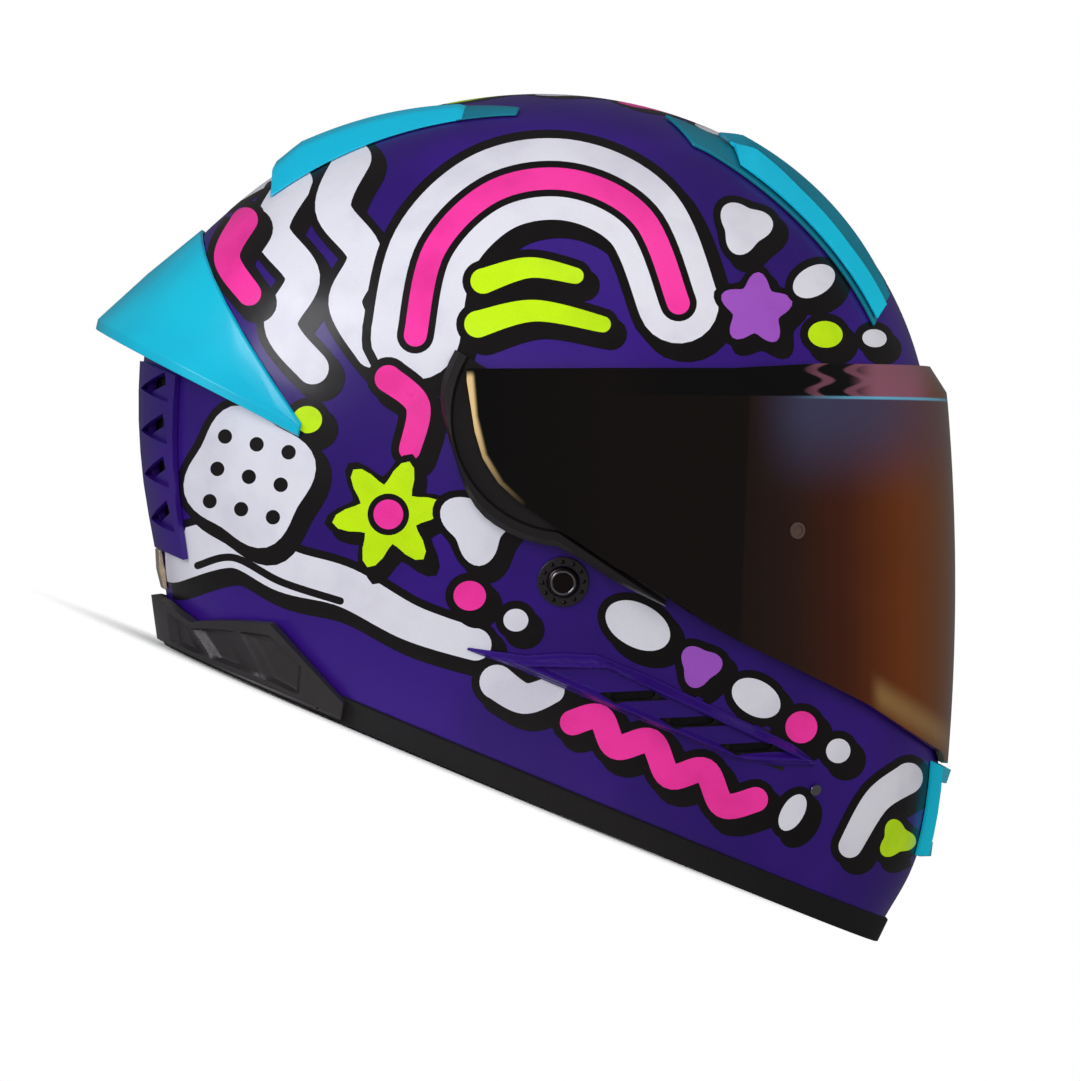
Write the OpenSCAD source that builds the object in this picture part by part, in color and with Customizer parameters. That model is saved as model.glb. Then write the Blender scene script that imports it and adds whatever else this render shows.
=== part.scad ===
// Full face motorcycle helmet.
// +X is the helmet's front, +Y the wearer's left, +Z up; it stands on its rim at z = 0.

/* [Shell] */
// Widest half width of the outer shell
half_width = 125.5; // [122:0.5:129]
// Thickness of the outer shell wall
shell_wall = 3; // [2.4:0.2:3.6]
// Height of the crown above the rim
crown_height = 260; // [256:1:264]
// Height of the rubber rim trim
trim_height = 10; // [8:0.5:12]

/* [Visor] */
// Thickness of the visor
visor_wall = 2.4; // [2:0.2:2.8]
// How far the visor's sides stand off the widest part of the shell
visor_side_gap = 6; // [5.5:0.5:9]
// How far the visor's outer face stands off the shell at its fullest height
visor_front_gap = 7.1; // [6.5:0.1:9]
// How far the visor's outer face stands off the shell at the brow
visor_brow_gap = 8.9; // [8.5:0.1:11]
// Gap between the visor and the brow of the shell
brow_gap = 1.4; // [1:0.2:2.4]
// Radius of the pivot pin under each end of the visor
pivot_pin_radius = 7; // [6:0.5:8]

/* [Vents and spoiler] */
// How far the spoiler lip stands off the shell
spoiler_reach = 18; // [12:1:24]
// Height of the front vent sliders over their bases
slider_height = 4.5; // [4:0.5:6]
// How far the chin vent stands off the shell
chin_vent_reach = 5; // [4:0.5:7]

/* [Lining] */
// Thickness of the crown pad
crown_pad_thickness = 9; // [6:1:12]
// Depth of each cheek pad
cheek_pad_depth = 34; // [26:1:38]

/* [Chin strap] */
// Width of the webbing
strap_width = 22; // [18:1:26]
// Thickness of the webbing
strap_thickness = 2; // [1.6:0.2:2.4]

/* [Hidden] */

$fn = 32;
seat = 0.3;              // clearance under a piece laid on the coarse shell
inner_seat = 0.8;        // clearance between the shell and what lines it
ring_columns = 48;       // corners round the shell and its lining
pitch_angle = 22.7;      // how far the helmet pitches nose down when worn
pivot = [-4, 137];       // visor pivot in side view
visor_half_width = half_width + visor_side_gap;
widest_height = 130;     // where the shell is widest
front_power = 2.1;       // roundness of the front half in plan
rear_power = 2.3;        // roundness of the rear half in plan

form_height = 260;       // the rows below were measured on a shell of this height
// Each row: height, middle, front reach, rear reach, half width as a share of the widest
shell_form = [
    [8, -5, 185, 108, 0.758],
    [30, -7, 189.5, 119, 0.812],
    [55, -9, 189, 133, 0.883],
    [80, -10.5, 184, 144, 0.945],
    [105, -12, 174, 151, 0.984],
    [130, -12, 163, 152, 0.996],
    [160, -11, 152.5, 146, 1],
    [200, -7, 147.5, 142, 1],
    [240, -1, 144.5, 140.7, 0.984],
    [form_height, 2, 143.5, 142, 0.969]];
// The head cavity in the impact liner, in the same form
cavity_form = [
    [0, -14, 112, 84, 0.53],
    [60, -18, 108, 100, 0.64],
    [110, -20, 106, 106, 0.72],
    [160, -20, 106, 106, 0.73],
    [222, -16, 104, 104, 0.72]];
cavity_widest = 115;
cavity_top = crown_height - 38;

// Shared numbers

function lerp(a, b, f) = a + (b - a) * f;
function sign_power(v, p) = sign(v) * pow(abs(v), p);
function flat(rows) = [for (row = rows) for (p = row) p];
function mean(points) = [for (k = [0:2]) lerp_sum(points, k) / len(points)];
function lerp_sum(points, k, i = 0) = i == len(points) ? 0 : points[i][k] + lerp_sum(points, k, i + 1);

function row_slope(table, i) =
    let (a = max(i - 1, 0), b = min(i + 1, len(table) - 1))
    (table[b] - table[a]) / (table[b][0] - table[a][0]);
function row_below(table, z, i = 0) =
    i >= len(table) - 2 || z < table[i + 1][0] ? i : row_below(table, z, i + 1);
function form_at(table, z) =
    let (i = row_below(table, z),
        h = table[i + 1][0] - table[i][0],
        f = (z - table[i][0]) / h,
        rise = row_slope(table, i) * h,
        next_rise = row_slope(table, i + 1) * h)
    (2 * f * f * f - 3 * f * f + 1) * table[i] + (f * f * f - 2 * f * f + f) * rise
    + (3 * f * f - 2 * f * f * f) * table[i + 1] + (f * f * f - f * f) * next_rise;
function dome(z, base, top) =
    z <= base ? 1 : sqrt(max(1 - pow((z - base) / (top - base), 2), 0.0004));

// The shell as a ring at each height: [middle, front reach, rear reach, half width]
function shell_ring(z) =
    let (row = form_at(shell_form, z * form_height / crown_height),
        k = dome(z, widest_height, crown_height))
    [row[1], row[2] * k, row[3] * k, row[4] * k * half_width];
function cavity_ring(z, d) =
    let (row = form_at(cavity_form, z), k = dome(z, cavity_widest, cavity_top - d))
    [row[1], (row[2] - d) * k, (row[3] - d) * k, (row[4] * half_width - d) * k];
function ring_point(ring, t, z) =
    let (n = cos(t) >= 0 ? front_power : rear_power,
        reach = cos(t) >= 0 ? ring[1] : ring[2])
    [ring[0] + reach * sign_power(cos(t), 2 / n), ring[3] * sign_power(sin(t), 2 / n), z];
function field(p) =
    let (ring = shell_ring(p[2]),
        n = p[0] >= ring[0] ? front_power : rear_power,
        reach = p[0] >= ring[0] ? ring[1] : ring[2])
    pow(abs((p[0] - ring[0]) / reach), n) + pow(abs(p[1] / ring[3]), n) - 1;
function outward(p) =
    let (e = 0.05,
        g = [for (step = [[e, 0, 0], [0, e, 0], [0, 0, e]]) field(p + step) - field(p - step)])
    g / norm(g);
function lifted(p, d) = d == 0 ? p : p + d * outward(p);

// A point of the shell by the angle round it and its height, d out from the surface
function skin(t, z, d = 0) = lifted(ring_point(shell_ring(z), t, z), d);
// A point of the shell's right side by its place in side view
function side_point(x, z, d = 0) =
    let (ring = shell_ring(z),
        n = x >= ring[0] ? front_power : rear_power,
        reach = x >= ring[0] ? ring[1] : ring[2],
        y = -ring[3] * pow(max(1 - pow(abs((x - ring[0]) / reach), n), 0.0001), 1 / n))
    lifted([x, y, z], d);
// A point of the crown by its place in plan
function roof_height(x, y, low, high, steps) =
    steps == 0 ? (low + high) / 2
    : let (z = (low + high) / 2)
        field([x, y, z]) < 0 ? roof_height(x, y, z, high, steps - 1)
        : roof_height(x, y, low, z, steps - 1);
function roof_point(x, y, d = 0) =
    lifted([x, y, roof_height(x, y, widest_height, crown_height - 0.01, 20)], d);

// The worn frame has its origin at the visor pivot: a forward, b up
function from_worn(a, y, b) =
    [pivot[0] + a * cos(pitch_angle) - b * sin(pitch_angle), y,
    pivot[1] + a * sin(pitch_angle) + b * cos(pitch_angle)];
// How far the shell reaches from the pivot's axis at angle psi, on the edge b = edge(a)
function reach_on(psi, edge, low = 40, high = 2 * half_width, steps = 20) =
    let (r = (low + high) / 2, a = r * cos(psi))
    steps == 0 ? r
    : field(from_worn(a, r * sin(psi), edge(a))) < 0
        ? reach_on(psi, edge, r, high, steps - 1)
        : reach_on(psi, edge, low, r, steps - 1);

// Edges of the visor in side view, as height b by distance a forward of the pivot
visor_low_line = [[-37, 13], [-35.5, 0], [-32, -14], [-26, -24], [-18, -31.5],
    [16, -54.5], [48, -76], [80, -91], [113, -107], [141, -124], [200, -158]];
visor_high_line = [[-37, 17.5], [66, 18], [102, 20], [200, 20.5]];
function visor_lower(a) = lookup(a, visor_low_line);
function visor_upper(a) = lookup(a, visor_high_line);

// Solids from grids of points

// A solid between two grids; columns crossed with rows point outward
module grid_solid(outer, inner, wrap = false, poles = false) {
    rows = len(outer) - 1;
    cols = len(outer[0]);
    last = wrap ? cols - 1 : cols - 2;
    inside = (rows + 1) * cols;
    function o(j, i) = j * cols + i % cols;
    function n(j, i) = inside + o(j, i);
    pole = 2 * inside;
    points = concat(flat(outer), flat(inner),
        poles ? [mean(outer[rows]), mean(inner[rows])] : []);
    faces = concat(
        [for (j = [0:rows - 1]) for (i = [0:last])
            for (f = [[o(j, i), o(j + 1, i), o(j + 1, i + 1)], [o(j, i), o(j + 1, i + 1), o(j, i + 1)]]) f],
        [for (j = [0:rows - 1]) for (i = [0:last])
            for (f = [[n(j, i), n(j + 1, i + 1), n(j + 1, i)], [n(j, i), n(j, i + 1), n(j + 1, i + 1)]]) f],
        [for (i = [0:last])
            for (f = [[o(0, i), o(0, i + 1), n(0, i + 1)], [o(0, i), n(0, i + 1), n(0, i)]]) f],
        poles ? [for (i = [0:last])
            for (f = [[o(rows, i), pole, o(rows, i + 1)], [n(rows, i), n(rows, i + 1), pole + 1]]) f]
        : [for (i = [0:last])
            for (f = [[o(rows, i), n(rows, i + 1), o(rows, i + 1)],
                [o(rows, i), n(rows, i), n(rows, i + 1)]]) f],
        wrap ? [] : [for (j = [0:rows - 1])
            for (f = [[o(j, 0), n(j + 1, 0), o(j + 1, 0)], [o(j, 0), n(j, 0), n(j + 1, 0)],
                [o(j, cols - 1), o(j + 1, cols - 1), n(j + 1, cols - 1)],
                [o(j, cols - 1), n(j + 1, cols - 1), n(j, cols - 1)]]) f]);
    polyhedron(points = points, faces = faces, convexity = 8);
}

// A solid through a stack of rings that run anticlockwise seen from the last one
module ring_stack(rings) {
    rows = len(rings) - 1;
    cols = len(rings[0]);
    function o(j, i) = j * cols + i % cols;
    foot = (rows + 1) * cols;
    points = concat(flat(rings), [mean(rings[0]), mean(rings[rows])]);
    faces = concat(
        [for (j = [0:rows - 1]) for (i = [0:cols - 1])
            for (f = [[o(j, i), o(j + 1, i), o(j + 1, i + 1)], [o(j, i), o(j + 1, i + 1), o(j, i + 1)]]) f],
        [for (i = [0:cols - 1])
            for (f = [[foot, o(0, i), o(0, i + 1)], [foot + 1, o(rows, i + 1), o(rows, i)]]) f]);
    polyhedron(points = points, faces = faces, convexity = 8);
}

// A closed loop swept through its sections
module section_loop(sections) {
    rows = len(sections);
    cols = len(sections[0]);
    function o(j, i) = (j % rows) * cols + i % cols;
    faces = [for (j = [0:rows - 1]) for (i = [0:cols - 1])
        for (f = [[o(j, i), o(j + 1, i), o(j + 1, i + 1)], [o(j, i), o(j + 1, i + 1), o(j, i + 1)]]) f];
    polyhedron(points = flat(sections), faces = faces, convexity = 8);
}

// A panel laid on the right side between two edges given in side view
module side_panel(upper, lower, rows, low, high) {
    n = len(upper) - 1;
    grid = [for (j = [0:rows]) [for (i = [0:n]) lerp(lower[i], upper[i], j / rows)]];
    grid_solid(
        [for (j = [0:rows]) [for (i = [0:n])
            side_point(grid[j][i][0], grid[j][i][1], high(i / n, j / rows))]],
        [for (j = [0:rows]) [for (i = [0:n]) side_point(grid[j][i][0], grid[j][i][1], low)]]);
}

// A panel laid round the shell: columns by angle, rows between two height functions
module skin_panel(angles, bottom, top, rows, low, high) {
    grid_solid(
        [for (j = [0:rows]) [for (t = angles) skin(t, lerp(bottom(t), top(t), j / rows), high(t, j / rows))]],
        [for (j = [0:rows]) [for (t = angles) skin(t, lerp(bottom(t), top(t), j / rows), low(t, j / rows))]]);
}

module both_sides() {
    children();
    mirror([0, 1, 0]) children();
}

function steps(from, to, count) = [for (i = [0:count]) lerp(from, to, i / count)];

// Outer shell

shell_foot = 4;
louvre_count = 4;

module shell_body(d, foot) {
    heights = concat([foot, trim_height + 1], steps(26, widest_height, 6),
        [for (phi = [11:11:77]) widest_height + (crown_height - widest_height) * sin(phi)],
        [widest_height + (crown_height - widest_height) * sin(84)]);
    ring_stack([for (z = heights) [for (i = [0:ring_columns - 1]) skin(360 * i / ring_columns, z, d)]]);
}

port_top = 9;             // upper edge of the eye port above the pivot, worn frame
port_margin = 14;         // how far the visor laps over its lower edge
port_back = [[54, 9], [46, 6], [41, -2], [39.5, -16], [41, -34], [46, -50], [54, -61]];
function port_upper(a) = port_top;
function port_lower(a) = visor_lower(a) + port_margin;

module eye_port_cutter() {
    outline = concat([[200, port_top]], port_back,
        [for (a = [62, 80, 113, 141, 200]) [a, port_lower(a)]]);
    translate([pivot[0], 0, pivot[1]]) rotate([90, 0, 0]) rotate([0, 0, pitch_angle])
        linear_extrude(height = 400, center = true) polygon(outline);
}

// Capsule slot through the shell between two points of its surface
module surface_slot(p, q, radius, depth) {
    hull() for (point = [p, q]) {
        away = outward(point);
        translate(point) rotate([0, acos(away[2]), atan2(away[1], away[0])])
            cylinder(r = radius, h = 2 * depth, center = true, $fn = 10);
    }
}

slot_lean = [5, 5.5];     // each side vent slot leans this far back to front
side_slots = [[58, 51.8], [82, 51.5], [106, 51]];
module side_slot_cutters(radius, depth) {
    for (slot = side_slots)
        surface_slot(side_point(slot[0] - slot_lean[0], slot[1] - slot_lean[1] / 2),
            side_point(slot[0] + slot_lean[0], slot[1] + slot_lean[1] / 2), radius, depth);
}

louvre_low = 40;
louvre_high = 98;
louvre_angles = [192, 208];
function louvre_height(k) = lerp(louvre_low, louvre_high, (k + 0.5) / louvre_count);
module louvre_cutters(radius, depth) {
    for (k = [0:louvre_count - 1]) {
        z = louvre_height(k);
        surface_slot(skin(louvre_angles[0] + 3, z - 3), skin(louvre_angles[1] - 3, z + 3), radius, depth);
    }
}

front_vent_y = [-38, -49];
front_vent_x = [2, 84];
function front_vent_mid(f) = lerp(front_vent_y[0], front_vent_y[1], f);

chin_slot_height = 52;
module outer_shell() color("#35156e") difference() {
    shell_body(0, shell_foot);
    shell_body(-shell_wall, shell_foot - 3);
    eye_port_cutter();
    both_sides() {
        side_slot_cutters(2.6, 8);
        louvre_cutters(2.6, 8);
        surface_slot(roof_point(30, front_vent_mid(0.35)), roof_point(58, front_vent_mid(0.7)), 4, 8);
    }
    surface_slot(skin(-7, chin_slot_height), skin(7, chin_slot_height), 5, 10);
    both_sides() surface_disc(side_point(anchor[0], anchor[1]), shank_radius + 0.1, -8, 6, 24);
}

// Impact liner

function smooth(f) = let (g = min(max(f, 0), 1)) g * g * (3 - 2 * g);
// Rim height of the crown liner by the angle round the helmet
function brow_plane(x, b) = pivot[1] + (b + (x - pivot[0]) * sin(pitch_angle)) / cos(pitch_angle);
function liner_rim(t) =
    let (u = abs(t > 180 ? t - 360 : t),
        brow = brow_plane(skin(t, 180)[0] - 8, port_top + 5),
        side = lerp(brow, 112, smooth((u - 72) / 12)))
    lerp(side, 42, smooth((u - 128) / 16));

module liner_cap(columns, rows, outer_at, inner_at) {
    grid_solid(
        [for (j = [0:rows]) [for (i = [0:columns - 1]) outer_at(360 * i / columns, j / rows)]],
        [for (j = [0:rows]) [for (i = [0:columns - 1]) inner_at(360 * i / columns, j / rows)]],
        wrap = true, poles = true);
}
// Height on a dome by its share of the way from the rim to the top
function dome_height(rim, widest, top, f) =
    let (low = rim >= widest ? asin((rim - widest) / (top - widest)) : 0,
        span = 84 - low,
        foot = rim >= widest ? 0 : 0.35)
    f < foot ? lerp(rim, widest, f / foot)
    : widest + (top - widest) * sin(low + span * (f - foot) / (1 - foot));

function cavity_rim(t) = min(liner_rim(t), 196);
module impact_liner() color("#d8d8d8")
    liner_cap(ring_columns, 9,
        function (t, f)
            skin(t, dome_height(liner_rim(t), widest_height, crown_height, f), -shell_wall - inner_seat),
        function (t, f) let (z = dome_height(cavity_rim(t), cavity_widest, cavity_top, f))
            ring_point(cavity_ring(z, 0), t, z));

chin_liner_depth = 18;
module chin_bar_liner() color("#cfcfcf")
    skin_panel(steps(-52.5, 52.5, 14), function (t) 14,
        function (t) 84 - 4 * abs(t) / 50, 4,
        function (t, v) -shell_wall - chin_liner_depth * (0.8 + 0.2 * sin(180 * v)),
        function (t, v) -shell_wall - inner_seat);

// Rim and lower trims

module rim_trim() color("#141414") {
    lip = 1.3;
    wall = 1.2;
    section_loop([for (i = [0:ring_columns - 1]) let (t = 360 * i / ring_columns) [
        skin(t, trim_height, seat), skin(t, trim_height - 0.6, seat + lip),
        each_foot(t, seat + lip, 0), each_foot(t, -shell_wall - inner_seat - wall, 0),
        skin(t, trim_height - 2, -shell_wall - inner_seat - wall),
        skin(t, trim_height - 2, -shell_wall - inner_seat),
        each_foot(t, -shell_wall - inner_seat, shell_foot - seat), each_foot(t, seat, shell_foot - seat)]]);
}
// Straight down from the shell's foot, d out from it
function each_foot(t, d, z) =
    let (p = skin(t, shell_foot), away = outward(p), level = away[0] * away[0] + away[1] * away[1])
    [p[0] + d * away[0] / level, p[1] + d * away[1] / level, z];

// A point of the shell, hung straight down where it is below the shell's foot
function hung(t, z, d) = z < shell_foot ? each_foot(t, d, z) : skin(t, z, d);
diffuser_span = 75;
function diffuser_top(s) =
    lookup(abs(s), [[0, 18], [20, 18], [34, 15], [58, 26], [diffuser_span, 9]]);
module rear_diffuser() {
    base = 1.3 + 3.5 * seat;
    count = 20;
    rows = 3;
    angles = steps(-diffuser_span, diffuser_span, count);
    function facet(i, j) = i == 0 || i == count || j == rows ? 0.8 : (i + j) % 2 == 0 ? 1.6 : 3.4;
    color("#1b1b1f") grid_solid(
        [for (j = [0:rows]) [for (i = [0:count])
            hung(180 + angles[i], lerp(1, diffuser_top(angles[i]), j / rows), base + facet(i, j))]],
        [for (j = [0:rows]) [for (s = angles) hung(180 + s, lerp(1, diffuser_top(s), j / rows), base)]]);
}

// Eye port gasket

function port_edge_point(psi, edge, d) =
    let (r = reach_on(psi, edge) + d, a = r * cos(psi))
    from_worn(a, r * sin(psi), edge(a));
function port_top_point(psi, d, inset) = port_edge_point(psi, function (a) port_upper(a) - inset, d);
function port_low_point(psi, d, inset) = port_edge_point(psi, function (a) port_lower(a) + inset, d);
function port_back_point(k, d, inset) =
    let (spot = port_back[k],
        toward = [90, -35] - spot,
        moved = spot + inset * toward / norm(toward),
        p = from_worn(moved[0], 0, moved[1]))
    side_point(p[0], p[2]) - [0, d, 0];
module eye_port_gasket() {
    inner = -shell_wall - 1.5;
    outer = 1;
    edge = 0.6;
    thick = 4;
    top_angles = steps(0, -56, 8);
    low_angles = steps(-60, 0, 9);
    function corners(at) =
        [at(outer, edge), at(inner, edge), at(inner, edge + thick), at(outer, edge + thick)];
    right = concat(
        [for (psi = top_angles) corners(function (d, inset) port_top_point(psi, d, inset))],
        [for (k = [0:len(port_back) - 1]) corners(function (d, inset) port_back_point(k, d, inset))],
        [for (psi = low_angles) corners(function (d, inset) port_low_point(psi, d, inset))]);
    left = [for (i = [len(right) - 2:-1:1]) [for (p = right[i]) [p[0], -p[1], p[2]]]];
    color("#101010") section_loop(concat(right, left));
}

// Visor

fullest_b = -62;          // where the visor reaches furthest, under the pivot's line
brow_b = 18;              // the visor's upper edge at the front
// How far the visor reaches forward of its pivot at these two heights
visor_front = reach_on(0, function (a) fullest_b) + visor_front_gap;
visor_brow = reach_on(0, function (a) brow_b) + visor_brow_gap;
visor_power = 2.1;
bevel_drop = 10;          // height of the bevel along the visor's upper edge
tab_drop = 3;             // how far the lift tab hangs under the lower edge
tab_half = 26;
ear_flat = 20;            // the visor's sides stay flat this far forward of the pivots
ear_steps = [-37, -35.5, -32, -26, -18, -8, 6];
function visor_bulge(b) = 1 - (1 - visor_brow / visor_front) * pow((b - fullest_b) / (brow_b - fullest_b), 2);
// The visor's plain outline in plan by its own angle p, from ear to ear
function plain_spot(p) = [ear_flat + (visor_front - ear_flat) * sign_power(max(cos(p), 0), 2 / visor_power),
    visor_half_width * sign_power(sin(p), 2 / visor_power)];
function ray_angle(p) = let (spot = plain_spot(p)) atan2(spot[1], spot[0]);
// Near the ears the visor is a plain curve; further forward it follows the shell
function visor_radius(p, b) =
    let (psi = ray_angle(p),
        front_gap = visor_front * visor_bulge(b) - reach_on(0, function (a) b),
        follow = reach_on(psi, function (a) b) + lerp(front_gap, visor_side_gap, pow(sin(psi), 2)),
        plain = norm(plain_spot(p)) * lerp(visor_bulge(b), 1, pow(sin(psi), 2)))
    lerp(follow, plain, smooth((abs(psi) - 58) / 18));
function on_ray(psi, b, r) = from_worn(r * cos(psi), r * sin(psi), b);
function visor_point(p, b, depth) = on_ray(ray_angle(p), b, visor_radius(p, b) - depth);
function visor_top_point(p, b, depth) =
    let (psi = ray_angle(p),
        close = reach_on(psi, function (a) b) + brow_gap + 4.4 * pow(abs(sin(psi)), 3) + visor_wall)
    on_ray(psi, b, min(visor_radius(p, b), close) - depth);
function visor_foot(p) =
    let (psi = ray_angle(p), a = (reach_on(psi, function (a) visor_lower(a)) + 5) * cos(psi)) visor_lower(a);
function bevel_foot(a) = visor_upper(a) - bevel_drop * smooth((a + 20) / 60);
function visor_column(p, depth, rows) =
    let (spot = plain_spot(p), a = spot[0],
        low = visor_foot(p) - (abs(spot[1]) < tab_half && a > 0 ? tab_drop : 0))
    concat([for (j = [0:rows]) visor_point(p, lerp(low, bevel_foot(a), j / rows), depth)],
        [visor_top_point(p, visor_upper(a), depth)]);
function ear_column(a, side, depth, rows) = [for (j = [0:rows + 1])
    from_worn(a, side * (visor_half_width - depth),
        j > rows ? visor_upper(a) : lerp(visor_lower(a), bevel_foot(a) - 0.6, j / rows))];
function by_rows(columns) = [for (j = [0:len(columns[0]) - 1]) [for (c = columns) c[j]]];
function visor_grid(depth, rows) = by_rows(concat(
    [for (a = ear_steps) ear_column(a, -1, depth, rows)],
    [for (p = [-90:6:90]) visor_column(p, depth, rows)],
    [for (i = [len(ear_steps) - 1:-1:0]) ear_column(ear_steps[i], 1, depth, rows)]));

module visor() color("#241a3a") grid_solid(visor_grid(0, 6), visor_grid(visor_wall, 6));

insert_gap = 0.45;
insert_wall = 1.2;
insert_angle = 48;
module anti_fog_insert() {
    angles = steps(-insert_angle, insert_angle, 16);
    function grid(depth) = by_rows([for (p = angles)
        [for (j = [0:4]) visor_point(p, lerp(visor_foot(p) + 22, 3, j / 4), depth)]]);
    color("#8a8f9a") grid_solid(grid(visor_wall + insert_gap), grid(visor_wall + insert_gap + insert_wall));
}

// Small pins that hold the insert's two ends to the visor
pin_angle = insert_angle + 3;
module insert_pins() color("#202020") both_sides() {
    translate(visor_point(-pin_angle, -40, visor_wall + 1)) rotate([0, -pitch_angle, 0])
        rotate([0, 90, 180 + ray_angle(-pin_angle)]) cylinder(r = 3, h = 3.5, $fn = 16);
}

// Pivots and base plates

ring_face = visor_half_width - visor_wall;
ring_depth = 2.2;
plate_face = ring_face - ring_depth - 0.4;
pin_clearance = 0.05;

module visor_pivot_ring() color("#2a2a2e")
    translate([pivot[0], 0.05 - ring_face, pivot[1]]) rotate([-90, 0, 0]) difference() {
        cylinder(r = 13, h = ring_depth, $fn = 48);
        translate([0, 0, -1]) cylinder(r = pivot_pin_radius + pin_clearance, h = ring_depth + 2, $fn = 48);
    }

// Plate under the visor's ear, with a raised border behind it
plate_radius = 34;
disc_top = 14;
disc_corners = 36;
border_sweep = [288, 172];              // the border's two ends, round the pivot
border_radii = [plate_radius - 4, 42, 43, 46, 48];
border_waist = 220;       // where the border is narrowest, which makes its edge nearly straight
rail_drops = [-8, -0.5, 1.5, 4, 5.5];   // the border's rows under the visor's lower edge
rail_steps = [36, 26, 16, 6];             // how far forward each of its stations is
module visor_base_plate() {
    function level(spot, y) = [spot[0], -y, spot[1]];
    function laid(spot) = side_point(spot[0], spot[1], seat);
    function around(t, r) = pivot + r * [cos(t), sin(t)];
    disc_angles = [for (k = [0:disc_corners - 1]) 360 * k / disc_corners];
    disc_shares = [1, 0.65, 0.25];
    // the disc stays under the visor's upper edge
    function disc_radius(t) = let (rise = sin(t - pitch_angle))
        rise > 0 ? min(plate_radius, disc_top / rise) : plate_radius;
    color("#17171a") grid_solid(
        [for (f = disc_shares) [for (t = disc_angles) level(around(t, f * disc_radius(t)), plate_face)]],
        [for (f = disc_shares) [for (t = disc_angles) laid(around(t, f * disc_radius(t)))]],
        wrap = true, poles = true);
    color("#17171a") translate([pivot[0], -plate_face + 0.5, pivot[1]]) rotate([90, 0, 0])
        cylinder(r = pivot_pin_radius, h = ring_depth, $fn = 48);
    // border behind and under the ear
    levels = [plate_face, plate_face, visor_half_width - 1, visor_half_width - 1.6, visor_half_width - 4];
    function rail_spot(a, k) =
        let (narrow = a > 30 ? 0.35 : a > 20 ? 0.7 : 1,
            drop = rail_drops[k] > 2 ? rail_drops[k] * narrow : rail_drops[k],
            p = from_worn(a, 0, visor_lower(a) - drop))
        [p[0], p[2]];
    function border_radius(t, k) = k < 3 ? border_radii[k]
        : lerp(border_radii[2] + 0.5 * (k - 2), border_radii[k], smooth(abs(t - border_waist) / 36));
    rows = [for (k = [0:4]) concat([for (a = rail_steps) rail_spot(a, k)],
        [for (t = steps(border_sweep[0], border_sweep[1], 20)) around(t, border_radius(t, k))])];
    color("#17171a") grid_solid([for (k = [0:4]) [for (spot = rows[k]) level(spot, levels[k])]],
        [for (k = [0:4]) [for (spot = rows[k]) laid(spot)]]);
}

module base_plate_screws() color("#9a9aa0") both_sides()
    for (t = [10, 190])
        translate([pivot[0] + 22 * cos(t), -plate_face, pivot[1] + 22 * sin(t)])
            rotate([90, 0, 0]) cylinder(r = 3.5, h = 1, $fn = 20);

// Rear spoiler and top vents

spoiler_span = 60;
function spoiler_fall(s) = pow(abs(s) / spoiler_span, 1.8);
module rear_spoiler() color("#00b4d2")
    ring_stack([for (s = steps(-spoiler_span, spoiler_span, 16))
        let (fall = spoiler_fall(s),
            back = seat + 0.2,
            t = 180 + s,
            low = lerp(103, 92, fall),
            high = lerp(150, 97, fall),
            reach = seat + 1.6 + spoiler_reach * pow(max(cos(90 * s / spoiler_span), 0), 0.8))
        [skin(t, low, back), skin(t, lerp(low, high, 0.33), back), skin(t, lerp(low, high, 0.67), back),
            skin(t, high, back), skin(t, high - 0.5, seat + 1.6),
            skin(t, lerp(low, high, 0.5), lerp(seat + 1.6, reach, 0.33)),
            skin(t, low + 4, reach), skin(t, low + 1, reach)]]);

module roof_panel(xs, middle, half, rows, low, high) {
    n = len(xs) - 1;
    function spot(i, j) = let (f = i / n) [xs[i], middle(f) + half(f) * (2 * j / rows - 1)];
    grid_solid(
        [for (j = [0:rows]) [for (i = [0:n]) let (q = spot(i, j))
            roof_point(q[0], q[1], high(i / n, j / rows))]],
        [for (j = [0:rows]) [for (i = [0:n]) let (q = spot(i, j)) roof_point(q[0], q[1], low)]]);
}

module rear_top_vent() color("#00b4d2")
    roof_panel(steps(-138, -65, 9),
        function (f) lerp(-36, -51, f), function (f) lerp(17, 3.5, pow(f, 1.2)), 5, seat,
        function (f, v) seat + 0.8
            + lerp(8, 1, pow(f, 0.6)) * pow(max(sin(180 * v), 0), 0.6) * (f == 0 ? 0.55 : 1));

vent_base_wall = 1.4;
slider_lift = seat + vent_base_wall + 0.7;
module front_vent_base() color("#0c5a66")
    roof_panel(steps(-14, 90, 12),
        function (f) front_vent_mid(f),
        function (f) 4 + 8 * pow(sin(180 * lerp(0.12, 0.86, f)), 0.7), 3, seat,
        function (f, v) seat + vent_base_wall);
module front_vent_slider() color("#00b4d2")
    roof_panel(steps(8, 86, 11),
        function (f) front_vent_mid(lerp(0.21, 0.96, f)),
        function (f) 2.5 + 7 * pow(sin(180 * lerp(0.2, 0.9, f)), 0.7), 4, slider_lift,
        function (f, v) slider_lift + 1
            + (slider_height - 1) * pow(max(sin(180 * v), 0), 0.6) * lerp(1, 0.35, f));

// Chin vent

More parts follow.
